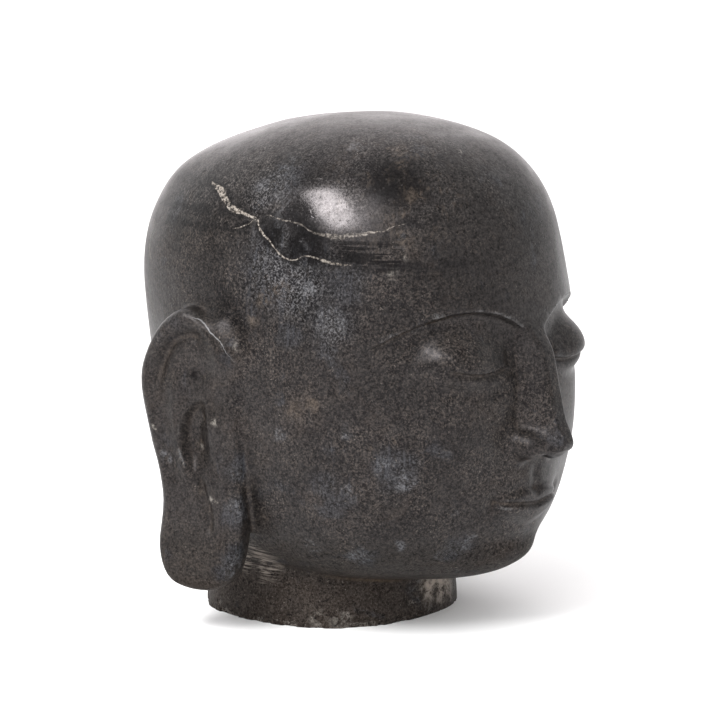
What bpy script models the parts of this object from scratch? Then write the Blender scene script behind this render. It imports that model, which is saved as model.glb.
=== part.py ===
"""The head of a monk, carved with its short neck from one block of dark marble and cut flat below.

The head looks along -Y, +Z is up, and the origin is the middle of the neck's flat underside. All sizes are in metres.
The stone is blocked out from simple solids, fused into one skin, and that skin is then carved: each of its points is
moved on to a surface that the functions below describe. Everything is the same left and right.
"""

import math

import bmesh
import bpy
import numpy as np
from mathutils import Matrix, Vector

NAME = "monk_head"

# The block: the neck stands on the floor, the chin and crown are heights above it, and the width is over the ears.
OVERALL_HEIGHT = 0.331
OVERALL_WIDTH = 0.289
CHIN_HEIGHT = 0.030
NECK_WIDTH = 0.158
NECK_DEPTH = 0.154
NECK_FLARE = 0.002
NECK_POWER = 2.4

# The skull is a rounded block whose flat top leans back a little, and the face is a second one in front of it.
EAR_STANDING = 0.0225
SKULL_WIDTH = OVERALL_WIDTH - 2 * EAR_STANDING
SKULL_DEPTH = 0.284
SKULL_SETBACK = -0.0175
SKULL_WIDEST_HEIGHT = 0.221
SKULL_FOOT_HEIGHT = CHIN_HEIGHT + 0.016
CROWN_SLOPE = math.radians(5.3)
SKULL_PLAN_POWER = 2.2
SKULL_PROFILE_POWER = 2.48
FACE_WIDTH = SKULL_WIDTH - 0.012
FACE_DEPTH = 0.240
FACE_SETBACK = SKULL_SETBACK - 0.0195
FACE_MIDDLE_HEIGHT = 0.134
FACE_TOP_HEIGHT = 0.262
FACE_PLAN_POWER = 2.35
FACE_PROFILE_POWER = 3.2
FACE_JOIN = 0.030
JAW_JOIN = 0.004
NAPE_JOIN = 0.030
TEMPLE_HOLLOW = 0.0016
TEMPLE_HOLLOW_PLACE = np.array([SKULL_WIDTH / 2, FACE_SETBACK - 0.045, 0.232])
TEMPLE_HOLLOW_RADII = np.array([0.040, 0.034, 0.020])

# The ears are flat slabs of stone that stand off the head behind, with long lobes. The lines carved in them are in
# shares of the ear's width, from its front edge, and of its length, from the lobe's foot, as its outline is.
EAR_LENGTH = 0.1828
EAR_WIDTH = 0.070
EAR_THICKNESS = 0.021
EAR_FOOT_HEIGHT = 0.0295
EAR_SETBACK = SKULL_SETBACK - 0.0059
EAR_SINK = 0.0029
EAR_FLARE = math.radians(13)
EAR_JOIN = 0.005
EAR_EDGE_ROUNDING = 0.0035
RIM_HEIGHT = 0.0026
GROOVE_DEPTH = 0.0036
BOWL_DEPTH = 0.0062
FLAP_HEIGHT = 0.0030
LOBE_FULLNESS = 0.0022
EAR_GROOVE = (
    (0.84, 0.66), (0.825, 0.725), (0.795, 0.785), (0.745, 0.836), (0.66, 0.88), (0.54, 0.901), (0.44, 0.903),
    (0.33, 0.888),
)
EAR_BOWL = ((0.26, 0.655), (0.34, 0.640), (0.41, 0.608), (0.455, 0.56), (0.46, 0.51), (0.43, 0.46), (0.385, 0.42))
EAR_FOLD = ((0.73, 0.76), (0.73, 0.67), (0.70, 0.60), (0.64, 0.53), (0.58, 0.475), (0.52, 0.43), (0.47, 0.39))
EAR_CHANNEL = ((0.40, 0.43), (0.375, 0.38), (0.34, 0.33), (0.295, 0.28), (0.25, 0.21))
EAR_HOLLOW = ((0.56, 0.78), (0.42, 0.785), (0.30, 0.76))
EAR_OUTLINE = (
    (0.55, 1.00), (0.80, 0.942), (0.97, 0.828), (1.02, 0.718), (0.94, 0.55), (0.86, 0.435), (0.81, 0.311),
    (0.85, 0.148), (0.77, 0.042), (0.57, 0.003), (0.29, 0.006), (0.10, 0.065), (0.01, 0.206), (0.00, 0.359),
    (0.00, 0.512), (0.03, 0.722), (0.12, 0.861), (0.31, 0.957),
)

# The face follows a drawing manual: the head is five eyes wide, and from chin to crown three and a half units high.
UNIT = (OVERALL_HEIGHT - CHIN_HEIGHT) / 3.5
NOSE_BASE_HEIGHT = CHIN_HEIGHT + UNIT
BROW_HEIGHT = CHIN_HEIGHT + 2 * UNIT
EYE_HEIGHT = (OVERALL_HEIGHT + CHIN_HEIGHT) / 2
MOUTH_HEIGHT = NOSE_BASE_HEIGHT - UNIT / 3
CHIN_CREASE_HEIGHT = NOSE_BASE_HEIGHT - 2 * UNIT / 3
EYE_WIDTH = SKULL_WIDTH / 5
EYE_SPREAD = EYE_WIDTH
NOSE_WIDTH = EYE_WIDTH
MOUTH_WIDTH = 1.3 * EYE_WIDTH
EYEBALL_RADII = UNIT * np.array([0.360, 0.300, 0.260])
EYE_STAND = 0.030 * UNIT
BROW_PEAK_SPREAD = 0.62 * UNIT
BROW_RISE = 0.15 * UNIT
BROW_ARCH = 0.30 * UNIT
BROW_REACH = 0.65 * UNIT
BROW_RECESS = 0.076 * UNIT
LID_THICKNESS = 0.023 * UNIT
LID_SAG = 0.044 * UNIT
NOSE_PROJECTION = 0.315 * UNIT
NOSE_RIDGE_WIDTH = 0.095 * UNIT
NOSE_FOOT_WIDTH = 0.475 * UNIT
NOSE_ROOT_SHARE = 0.28
NOSE_TUCK = 0.30
TIP_HEIGHT = NOSE_BASE_HEIGHT + 0.145 * UNIT
NOSE_TIP_RADII = UNIT * np.array([0.150, 0.140, 0.130])
NOSE_WING_RADII = UNIT * np.array([0.105, 0.170, 0.112])
NOSTRIL_RADII = UNIT * np.array([0.056, 0.087, 0.056])
MOUTH_FULLNESS = 0.100 * UNIT
UPPER_LIP_HEIGHT = 0.102 * UNIT
LOWER_LIP_HEIGHT = 0.126 * UNIT
LIP_FULLNESS = 0.038 * UNIT
LIP_EDGE = 0.064 * UNIT
PARTING_DEPTH = 0.026 * UNIT
CORNER_LIFT = 0.040 * UNIT
CHIN_HOLLOW = 0.048 * UNIT
CHIN_FULLNESS = 0.145 * UNIT
CHEEK_FULLNESS = 0.040 * UNIT
EDGE = 0.026 * UNIT

# The carving: the skin's spacing when it is blocked out and when it is carved, and how its points move.
BLOCK_VOXEL = 0.0050
CARVING_VOXEL = 0.0030
FIRST_ROUNDS = 7
SPREADING_ROUNDS = 3
LEAST_STEEPNESS = 0.30
LONGEST_STEP = 0.0035
NUDGE = 0.0002
TRIANGLES = 9600
FAR_AWAY = 2 * OVERALL_HEIGHT
NEAR_EAR = 0.025
SHARPEST_SMOOTH_EDGE = math.radians(50)


def length(rows):
    return np.sqrt((rows * rows).sum(axis=1))


def ramp(share):
    """0 below 0 and 1 above 1, with a soft start and end."""
    share = np.clip(share, 0, 1)
    return share * share * (3 - 2 * share)


def bell(share):
    """1 at 0, falling off softly on both sides to near nothing at 2."""
    return np.exp(-share * share)


def join(a, b, reach):
    """The nearer of two distances, with a fillet of that reach between the two shapes."""
    nearness = np.maximum(reach - np.abs(a - b), 0) / reach
    return np.minimum(a, b) - nearness * nearness * reach / 4


def cut(a, b, reach):
    """Shape a with shape b taken out of it, and the edge eased over that reach."""
    return -join(-a, b, reach)


def overlap(a, b, reach):
    """What is inside both shapes, with the edge eased over that reach."""
    return -join(-a, -b, reach)


def ellipsoid(points, centre, radii):
    offset = (points - centre) / radii
    reach = length(offset)
    return reach * (reach - 1) / np.maximum(length(offset / radii), 1e-9)


def rounded_block(points, radii, plan_power, profile_power):
    """An ellipsoid with fuller corners: radii may differ from point to point, as above and below the middle."""
    share = np.abs(points) / radii
    around = (share[:, 0] ** plan_power + share[:, 1] ** plan_power) ** (profile_power / plan_power)
    reach = (around + share[:, 2] ** profile_power) ** (1 / profile_power)
    return length(points) * (1 - 1 / np.maximum(reach, 1e-6))


def crown_rise():
    """The skull's rise above its widest level, along its leaning axis, that brings its top to the full height."""
    power = SKULL_PROFILE_POWER / (SKULL_PROFILE_POWER - 1)
    lift = (math.sin(CROWN_SLOPE) * SKULL_DEPTH / 2) ** power
    return ((OVERALL_HEIGHT - SKULL_WIDEST_HEIGHT) ** power - lift) ** (1 / power) / math.cos(CROWN_SLOPE)


CROWN_RISE = crown_rise()


def skull(points):
    offset = points - (0, SKULL_SETBACK, SKULL_WIDEST_HEIGHT)
    offset = offset @ np.array(Matrix.Rotation(-CROWN_SLOPE, 3, "X"))
    rise = np.where(offset[:, 2] > 0, CROWN_RISE, SKULL_WIDEST_HEIGHT - SKULL_FOOT_HEIGHT)
    radii = np.column_stack([np.full(len(rise), SKULL_WIDTH / 2), np.full(len(rise), SKULL_DEPTH / 2), rise])
    return rounded_block(offset, radii, SKULL_PLAN_POWER, SKULL_PROFILE_POWER)


def face_block(points):
    offset = points - (0, FACE_SETBACK, FACE_MIDDLE_HEIGHT)
    above, below = FACE_TOP_HEIGHT - FACE_MIDDLE_HEIGHT, FACE_MIDDLE_HEIGHT - CHIN_HEIGHT
    rise = np.where(offset[:, 2] > 0, above, below)
    radii = np.column_stack([np.full(len(rise), FACE_WIDTH / 2), np.full(len(rise), FACE_DEPTH / 2), rise])
    return rounded_block(offset, radii, FACE_PLAN_POWER, FACE_PROFILE_POWER)


def neck(points):
    """A round column that runs on below the floor, where it is cut off later."""
    flare = NECK_FLARE * (1 - ramp(points[:, 2] / CHIN_HEIGHT))
    reach = np.abs(points[:, :2]) / (NECK_WIDTH / 2, NECK_DEPTH / 2)
    share = (reach**NECK_POWER).sum(axis=1) ** (1 / NECK_POWER)
    side = (share - 1) * min(NECK_WIDTH, NECK_DEPTH) / 2 - flare
    return np.maximum(side, points[:, 2] - SKULL_WIDEST_HEIGHT)


def bare_head(points):
    """The head and neck without ears or features, and with a shallow hollow at each temple."""
    head = join(skull(points), face_block(points), FACE_JOIN)
    mirrored = points.copy()
    mirrored[:, 0] = np.abs(points[:, 0])
    head = head + TEMPLE_HOLLOW * bell(length((mirrored - TEMPLE_HOLLOW_PLACE) / TEMPLE_HOLLOW_RADII))
    reach = JAW_JOIN + (NAPE_JOIN - JAW_JOIN) * ramp(points[:, 1] / (NECK_DEPTH / 2))
    return join(head, neck(points), reach)


def surface_along(inner, outer):
    """The point where the way from a place inside the bare head to one outside it meets the surface."""
    inner, outer = np.array(inner, float), np.array(outer, float)
    for _ in range(40):
        middle = (inner + outer) / 2
        if bare_head(middle[None, :])[0] > 0:
            outer = middle
        else:
            inner = middle
    return inner


def front_of(x, height):
    """How far forward the bare head's surface lies at that place of the face."""
    return surface_along((x, 0, height), (x, -FAR_AWAY, height))[1]


def spline_point(a, b, c, d, t):
    """The point at share t of the way from b to c, on a smooth line through the four."""
    start, end, way = (c - a) / 2, (d - b) / 2, c - b
    return b + t * start + t**2 * (3 * way - 2 * start - end) + t**3 * (start + end - 2 * way)


def closed_curve(corners, steps):
    """A smooth closed line through the corners."""
    corners = np.array(corners)
    before, after, beyond = (np.roll(corners, shift, axis=0) for shift in (1, -1, -2))
    line = []
    for a, b, c, d in zip(before, corners, after, beyond):
        line += [spline_point(a, b, c, d, t) for t in np.arange(steps) / steps]
    return np.array(line)


def open_curve(corners, steps):
    """A smooth line through the corners, whose ends run on straight."""
    corners = np.array(corners)
    ends = np.vstack([2 * corners[0] - corners[1], corners, 2 * corners[-1] - corners[-2]])
    line = []
    for a, b, c, d in zip(ends[:-3], ends[1:-2], ends[2:-1], ends[3:]):
        line += [spline_point(a, b, c, d, t) for t in np.arange(steps) / steps]
    return np.array(line + [corners[-1]])


def distance_to_line(places, line):
    """How far each place is from a line of straight pieces, and how far along it, as a share, the nearest point is."""
    nearest = np.full(len(places), np.inf)
    share_there = np.zeros(len(places))
    reached = np.concatenate([[0], np.cumsum(length(np.diff(line, axis=0)))])
    for start, end, before, after in zip(line[:-1], line[1:], reached[:-1], reached[1:]):
        along = end - start
        share = np.clip(((places - start) @ along) / (along @ along), 0, 1)
        away = length(places - start - share[:, None] * along)
        closer = away < nearest
        nearest[closer] = away[closer]
        share_there[closer] = (before + share[closer] * (after - before)) / reached[-1]
    return nearest, share_there


def inside_outline(places, outline):
    """Whether each place is inside a closed outline, by counting the edges that a line going up crosses."""
    crossed = np.zeros(len(places), int)
    for start, end in zip(outline, np.roll(outline, -1, axis=0)):
        spans = (start[0] > places[:, 0]) != (end[0] > places[:, 0])
        if start[0] != end[0]:
            height = start[1] + (end[1] - start[1]) * (places[:, 0] - start[0]) / (end[0] - start[0])
            crossed += spans & (height > places[:, 1])
    return crossed % 2 == 1


EAR_SCALE = np.array([EAR_WIDTH, EAR_LENGTH])
EAR_LINE = closed_curve(EAR_OUTLINE, 4) * EAR_SCALE
EAR_ROOT_HEIGHT = EAR_FOOT_HEIGHT + EAR_LENGTH / 2
EAR_SPREAD = surface_along((0, EAR_SETBACK, EAR_ROOT_HEIGHT), (FAR_AWAY, EAR_SETBACK, EAR_ROOT_HEIGHT))[0] - EAR_SINK


def on_the_ear(points):
    """Each point's place on the ear, across from its front edge and up from its foot, and its height off its middle."""
    spread = np.abs(points[:, 0]) - EAR_SPREAD
    back = points[:, 1] - EAR_SETBACK
    across = spread * math.sin(EAR_FLARE) + back * math.cos(EAR_FLARE)
    off = spread * math.cos(EAR_FLARE) - back * math.sin(EAR_FLARE)
    return np.column_stack([across, points[:, 2] - EAR_FOOT_HEIGHT]), off


def stroke(places, corners, width):
    """1 along a smooth line through the corners, softening to 0 beside it and at its ends; all in shares of the ear."""
    away, share = distance_to_line(places, open_curve(corners, 3) * EAR_SCALE)
    start, end = ramp(0.25 + share / 0.3), ramp(0.25 + (1 - share) / 0.3)
    return bell(away / (width * EAR_WIDTH)) * start * end


def swelling(places, centre, radii):
    """1 at a place on the ear, softening to 0 around it; the centre and the radii are shares of the ear."""
    return bell(length((places / EAR_SCALE - centre) / radii))


def ear_relief(places, edge):
    """How far the ear's outer side stands out or is hollowed, from its place and its distance inside the outline."""
    across, up = (places / EAR_SCALE).T
    behind = ramp((across - 0.05) / 0.25 + ramp((up - 0.80) / 0.1))
    rim = bell((edge / EAR_WIDTH + 0.080) / 0.080) * ramp((up - 0.34) / 0.2) * behind
    groove = stroke(places, EAR_GROOVE, 0.055)
    bowl = stroke(places, EAR_BOWL, 0.085)
    hollow = stroke(places, EAR_HOLLOW, 0.110)
    flap = swelling(places, (0.23, 0.60), (0.15, 0.060))
    fold = stroke(places, EAR_FOLD, 0.070)
    channel = stroke(places, EAR_CHANNEL, 0.065)
    lobe = swelling(places, (0.50, 0.13), (0.36, 0.11))
    raised = RIM_HEIGHT * (rim + fold) + FLAP_HEIGHT * flap + LOBE_FULLNESS * lobe
    return raised - GROOVE_DEPTH * (groove + 0.7 * channel + 0.5 * hollow) - BOWL_DEPTH * bowl


def ears(points):
    """The ears' signed distance, worked out near them only: anywhere else they are taken as that far away."""
    places, off = on_the_ear(points)
    near = (np.abs(off) < EAR_THICKNESS / 2 + NEAR_EAR) & (places > -NEAR_EAR).all(axis=1)
    near &= (places < EAR_SCALE + NEAR_EAR).all(axis=1)
    distance = np.full(len(points), NEAR_EAR)
    places, off = places[near], off[near]
    edge, _ = distance_to_line(places, np.vstack([EAR_LINE, EAR_LINE[:1]]))
    edge = np.where(inside_outline(places, EAR_LINE), -edge, edge)
    outer = off - EAR_THICKNESS / 2 - ear_relief(places, edge)
    inner = -off - EAR_THICKNESS / 2
    distance[near] = overlap(overlap(outer, inner, EAR_EDGE_ROUNDING), edge, 2 * EAR_EDGE_ROUNDING)
    return distance


def brow_line(spread):
    """The height of the carved edge under the brow, which arches from the nose to the temple."""
    share = (spread - BROW_PEAK_SPREAD) / BROW_REACH
    return BROW_HEIGHT + BROW_RISE - BROW_ARCH * np.abs(share) ** 2.1


def socket(spread, height):
    """The recess under the brow: it starts at the brow's edge and is gone by the cheek."""
    below = brow_line(spread) - height
    share = np.abs(spread - BROW_PEAK_SPREAD) / BROW_REACH
    start = 1 - np.exp(-np.maximum(below, 0) / (1.5 * EDGE))
    end = 1 - ramp((below / UNIT - 0.14) / 0.49)
    return -BROW_RECESS * start * end * ramp((1.12 - share) / 0.6)


def nose_bridge(spread, height, under):
    """The face's surface with the nose on it: a soft ridge that grows from between the brows to the tip."""
    root = BROW_HEIGHT + 0.05 * UNIT
    down = np.clip((root - height) / (root - TIP_HEIGHT), 0, 1)
    stand = NOSE_PROJECTION * (NOSE_ROOT_SHARE * ramp(down / 0.3) + (1 - NOSE_ROOT_SHARE) * down**1.5)
    foot = NOSE_FOOT_WIDTH / 2 * (1 - NOSE_ROOT_SHARE * (1 - down))
    share = ramp((foot - spread) / (foot - NOSE_RIDGE_WIDTH / 2))
    share = share * ramp(((height - NOSE_BASE_HEIGHT) / UNIT + 0.012) / 0.116)
    stand = stand * (1 - NOSE_TUCK * ramp((TIP_HEIGHT - height) / (TIP_HEIGHT - NOSE_BASE_HEIGHT)))
    return under * (1 - share) + stand * share


def eye_line(spread):
    """The height of the upper lid's edge, which sags between the corners of a lowered eye."""
    share = (spread - EYE_SPREAD) / (EYE_WIDTH / 2)
    return EYE_HEIGHT - 0.25 * LID_SAG * (1 - share) - LID_SAG * (1 - share**2)


def lids(spread, height):
    """The upper lid's edge over the lower one, and the soft pouch below."""
    over = height - eye_line(spread)
    share = np.abs(spread - EYE_SPREAD) / (EYE_WIDTH / 2)
    upper = ramp(over / EDGE + 0.5) * (1 - ramp((over / EYE_WIDTH - 0.04) / 0.29))
    slit = 0.6 * bell((over + EDGE) / EDGE)
    lower = 0.45 * bell((over / EYE_WIDTH + 0.13) / 0.061)
    pouch = 0.5 * bell((over / EYE_WIDTH + 0.275) / 0.092)
    return LID_THICKNESS * (upper - slit + lower - pouch) * ramp((1.12 - share) / 0.35)


def lips(over, share):
    """The two lips, from the height over the line between them and the share of the way to the mouth's corner."""
    taper = np.sqrt(np.clip(1 - share**2, 0, 1))
    bow = 1 - 0.16 * bell(share / 0.14) + 0.06 * bell((share - 0.28) / 0.16)
    top, bottom = UPPER_LIP_HEIGHT * bow * taper**1.6, LOWER_LIP_HEIGHT * taper
    upper = ramp((top - over) / LIP_EDGE + 0.6) * ramp(over / (2 * EDGE) + 0.5)
    lower = ramp((bottom + over) / (1.3 * LIP_EDGE) + 0.6) * ramp(0.5 - over / (2 * EDGE))
    lower = lower * (1.5 - 0.5 * ramp(-over / LOWER_LIP_HEIGHT))
    return LIP_FULLNESS * (upper + lower) * np.sqrt(np.clip(1 - (share / 1.02) ** 4, 0, 1))


def mouth(spread, height):
    """The mound round the mouth, the lips, the line between them, and the channel above."""
    share = spread / (MOUTH_WIDTH / 2)
    over = height - MOUTH_HEIGHT - CORNER_LIFT * (share**2 - 0.3 * bell(share / 0.22))
    mound = MOUTH_FULLNESS * bell(np.hypot(spread / 0.465, (height - MOUTH_HEIGHT) / 0.384) ** 1.4 / UNIT**1.4)
    parting = bell(over / (0.5 * EDGE + 0.009 * UNIT)) * ramp((1.08 - share) / 0.12)
    corner_away = np.hypot(spread - 0.52 * MOUTH_WIDTH, height - MOUTH_HEIGHT - 1.1 * CORNER_LIFT)
    corner = bell(corner_away / (0.070 * UNIT))
    above = (over - UPPER_LIP_HEIGHT) / (NOSE_BASE_HEIGHT - MOUTH_HEIGHT - UPPER_LIP_HEIGHT)
    channel = 0.6 * bell(spread / (0.049 * UNIT)) * ramp((above + 0.1) / 0.3) * ramp((1 - above) / 0.4)
    return mound + lips(over, share) - PARTING_DEPTH * (parting + corner + channel)


def chin_and_cheeks(spread, height):
    """The rounded chin with the hollow above it, and the soft fullness of the cheeks."""
    across, up = spread / UNIT, (height - CHIN_CREASE_HEIGHT) / UNIT
    hollow = -CHIN_HOLLOW * bell((up - 0.035) / 0.087) * bell(across / 0.30)
    chin_up = (height - CHIN_HEIGHT) / UNIT
    chin = CHIN_FULLNESS * bell(np.hypot(across / 0.39, (chin_up - 0.22) / 0.22) ** 1.3)
    cheek_up = (height - NOSE_BASE_HEIGHT) / UNIT
    cheek = CHEEK_FULLNESS * bell(np.hypot((across - 0.77) / 0.35, (cheek_up - 0.12) / 0.40))
    return hollow + chin + cheek


def facing_front(points):
    """1 on the face's side of the head and 0 behind the temples."""
    return ramp((-points[:, 1] / UNIT - 0.58) / 0.35)


def feature_anchors():
    """Where the rounded masses of the face sit on the bare head."""
    wing_height = NOSE_BASE_HEIGHT + 0.128 * UNIT
    nose_front = front_of(0, wing_height)
    eye_front = front_of(EYE_SPREAD, EYE_HEIGHT) - EYE_STAND
    return {
        "eye": np.array([EYE_SPREAD, eye_front + EYEBALL_RADII[1], EYE_HEIGHT + 0.012 * UNIT]),
        "tip": np.array([0, nose_front - NOSE_PROJECTION + 0.128 * UNIT, TIP_HEIGHT]),
        "wing": np.array([NOSE_WIDTH / 2 - NOSE_WING_RADII[0], nose_front - 0.050 * UNIT, wing_height]),
        "nostril": np.array([0.093 * UNIT, nose_front - 0.145 * UNIT, NOSE_BASE_HEIGHT + 0.012 * UNIT]),
    }


ANCHORS = feature_anchors()


def carved_head(points):
    """The signed distance, near enough, from the finished stone: negative inside."""
    mirrored = points.copy()
    mirrored[:, 0] = np.abs(points[:, 0])
    spread, height = mirrored[:, 0], mirrored[:, 2]
    front = facing_front(points)
    relief = nose_bridge(spread, height, socket(spread, height)) + mouth(spread, height)
    relief = relief + chin_and_cheeks(spread, height)
    stone = bare_head(points) - relief * front
    stone = join(stone, ellipsoid(mirrored, ANCHORS["eye"], EYEBALL_RADII), 0.070 * UNIT)
    stone = stone - lids(spread, height) * front
    stone = join(stone, ellipsoid(mirrored, ANCHORS["tip"], NOSE_TIP_RADII), 0.080 * UNIT)
    stone = join(stone, ellipsoid(mirrored, ANCHORS["wing"], NOSE_WING_RADII), 0.090 * UNIT)
    stone = cut(stone, ellipsoid(mirrored, ANCHORS["nostril"], NOSTRIL_RADII), 0.035 * UNIT)
    return join(stone, ears(points), EAR_JOIN)


def settle(points, distance, rounds):
    """Moves the points on to the surface where the distance is nothing, along the steepest way."""
    for _ in range(rounds):
        value = distance(points)
        slope = np.column_stack([(distance(points + NUDGE * axis) - value) / NUDGE for axis in np.eye(3)])
        step = value / np.maximum((slope * slope).sum(axis=1), LEAST_STEEPNESS)
        step = np.clip(step, -LONGEST_STEP, LONGEST_STEP)
        points = points - step[:, None] * slope
    return points


def blocked_out():
    """The simple solids that the head is carved from, overlapping one another."""
    block = bmesh.new()
    for width, depth, setback, top, foot in (
        (SKULL_WIDTH, SKULL_DEPTH, SKULL_SETBACK, OVERALL_HEIGHT, SKULL_FOOT_HEIGHT),
        (FACE_WIDTH, FACE_DEPTH, FACE_SETBACK, FACE_TOP_HEIGHT, CHIN_HEIGHT),
    ):
        fit = Matrix.Translation((0, setback, (top + foot) / 2))
        fit = fit @ Matrix.Diagonal((width / 2, depth / 2, (top - foot) / 2, 1))
        bmesh.ops.create_icosphere(block, subdivisions=4, radius=1, matrix=fit)
    fit = Matrix.Translation((0, 0, CHIN_HEIGHT / 2)) @ Matrix.Diagonal((NECK_WIDTH / 2, NECK_DEPTH / 2, 1, 1))
    bmesh.ops.create_cone(
        block, cap_ends=True, segments=48, radius1=1, radius2=1, depth=3 * CHIN_HEIGHT, matrix=fit
    )
    add_nose_wedge(block)
    for side in (-1, 1):
        add_ear_slab(block, side)
    return block


def add_nose_wedge(block):
    """A wedge from between the brows to the tip and the wings, reaching into the head."""
    root, foot = front_of(0, BROW_HEIGHT), front_of(0, NOSE_BASE_HEIGHT)
    corners = [(0, root, BROW_HEIGHT)]
    for spread in (-NOSE_WIDTH / 2, NOSE_WIDTH / 2):
        corners += [(spread, foot + NOSE_PROJECTION, height) for height in (NOSE_BASE_HEIGHT, BROW_HEIGHT)]
        corners += [(spread, foot, height) for height in (NOSE_BASE_HEIGHT, TIP_HEIGHT)]
        corners += [(spread / 4, foot - NOSE_PROJECTION, height) for height in (NOSE_BASE_HEIGHT, TIP_HEIGHT)]
    bmesh.ops.convex_hull(block, input=[block.verts.new(corner) for corner in corners])


def add_ear_slab(block, side):
    """One ear's outline as a slab, reaching into the head."""
    rim = []
    for across, up in EAR_LINE:
        x = EAR_SPREAD + across * math.sin(EAR_FLARE)
        y = EAR_SETBACK + across * math.cos(EAR_FLARE)
        rim.append(block.verts.new((side * x, y, EAR_FOOT_HEIGHT + up)))
    face = block.faces.new(rim if side < 0 else rim[::-1])
    outward = Vector((side * math.cos(EAR_FLARE), -math.sin(EAR_FLARE), 0))
    bmesh.ops.translate(block, verts=rim, vec=outward * EAR_THICKNESS / 2)
    swept = bmesh.ops.extrude_face_region(block, geom=[face], use_keep_orig=True)
    moved = [item for item in swept["geom"] if isinstance(item, bmesh.types.BMVert)]
    bmesh.ops.translate(block, verts=moved, vec=-outward * EAR_THICKNESS)
    bmesh.ops.recalc_face_normals(block, faces=list({face for vert in rim + moved for face in vert.link_faces}))


def evaluated(obj):
    """The object's mesh with its modifiers applied, as new data."""
    bpy.context.view_layer.update()
    graph = bpy.context.evaluated_depsgraph_get()
    return bpy.data.meshes.new_from_object(obj.evaluated_get(graph))


def with_modifier(obj, kind, **settings):
    """Applies one modifier to the object."""
    modifier = obj.modifiers.new(kind.title(), kind)
    for name, value in settings.items():
        setattr(modifier, name, value)
    mesh = evaluated(obj)
    obj.modifiers.clear()
    old, obj.data = obj.data, mesh
    bpy.data.meshes.remove(old)


def relaxed(points, ends):
    """The points drawn half way to the mean of their neighbours, which spreads them evenly over the surface."""
    count = np.bincount(ends.ravel(), minlength=len(points))
    near, far = ends.T
    mean = np.empty_like(points)
    for axis in range(3):
        total = np.bincount(near, points[far, axis], len(points)) + np.bincount(far, points[near, axis], len(points))
        mean[:, axis] = total / count
    return (points + mean) / 2


def places_of(mesh):
    places = np.empty(len(mesh.vertices) * 3)
    mesh.vertices.foreach_get("co", places)
    return places.reshape(-1, 3)


def settle_mesh(mesh, rounds):
    """Moves the mesh's points on to the carved surface."""
    mesh.vertices.foreach_set("co", settle(places_of(mesh), carved_head, rounds).ravel())
    mesh.update()


def carve(mesh, rounds):
    """Moves the mesh's points on to the carved surface, first straight and then while they spread out evenly."""
    ends = np.empty(len(mesh.edges) * 2, int)
    mesh.edges.foreach_get("vertices", ends)
    ends = ends.reshape(-1, 2)
    settle_mesh(mesh, rounds)
    for _ in range(SPREADING_ROUNDS):
        mesh.vertices.foreach_set("co", relaxed(places_of(mesh), ends).ravel())
        settle_mesh(mesh, 1)
    settle_mesh(mesh, 1)


def saw_off_flat(obj):
    """Cuts the neck off level with the floor and closes it with one flat face."""
    work = bmesh.new()
    work.from_mesh(obj.data)
    geometry = list(work.verts) + list(work.edges) + list(work.faces)
    cut_line = bmesh.ops.bisect_plane(
        work, geom=geometry, plane_co=(0, 0, 0), plane_no=(0, 0, -1), clear_outer=True, dist=1e-6
    )
    edges = [item for item in cut_line["geom_cut"] if isinstance(item, bmesh.types.BMEdge)]
    bmesh.ops.edgeloop_fill(work, edges=edges)
    bmesh.ops.recalc_face_normals(work, faces=work.faces)
    work.to_mesh(obj.data)
    work.free()


def clear_scene():
    for obj in list(bpy.data.objects):
        bpy.data.objects.remove(obj)


def marble():
    material = bpy.data.materials.new("dark_marble")
    material.use_nodes = True
    shader = material.node_tree.nodes["Principled BSDF"]
    shader.inputs["Base Color"].default_value = (0.030, 0.028, 0.028, 1)
    shader.inputs["Roughness"].default_value = 0.42
    shader.inputs["Metallic"].default_value = 0
    return material


def main():
    clear_scene()
    block = blocked_out()
    mesh = bpy.data.meshes.new(NAME)
    block.to_mesh(mesh)
    block.free()
    head = bpy.data.objects.new(NAME, mesh)
    bpy.context.scene.collection.objects.link(head)
    with_modifier(head, "REMESH", mode="VOXEL", voxel_size=BLOCK_VOXEL)
    carve(head.data, FIRST_ROUNDS)
    with_modifier(head, "REMESH", mode="VOXEL", voxel_size=CARVING_VOXEL)
    carve(head.data, 1)
    with_modifier(head, "TRIANGULATE")
    with_modifier(head, "DECIMATE", ratio=TRIANGLES / len(head.data.polygons))
    settle_mesh(head.data, 1)
    saw_off_flat(head)
    head.data.materials.append(marble())
    head.data.shade_smooth()
    head.data.set_sharp_from_angle(angle=SHARPEST_SMOOTH_EDGE)


main()
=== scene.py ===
"""A carved head of dark marble on a white studio floor.

The head looks along -Y and rests with its neck's flat underside on the floor. All sizes are in metres. The stone is
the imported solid's own skin, remeshed finely and carved again with crisper edges, worn, chipped and then polished.
"""

import math
from concurrent.futures import ThreadPoolExecutor
from functools import partialmethod

import bmesh
import bpy
import numpy as np
from mathutils import Matrix, Quaternion, Vector


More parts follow.
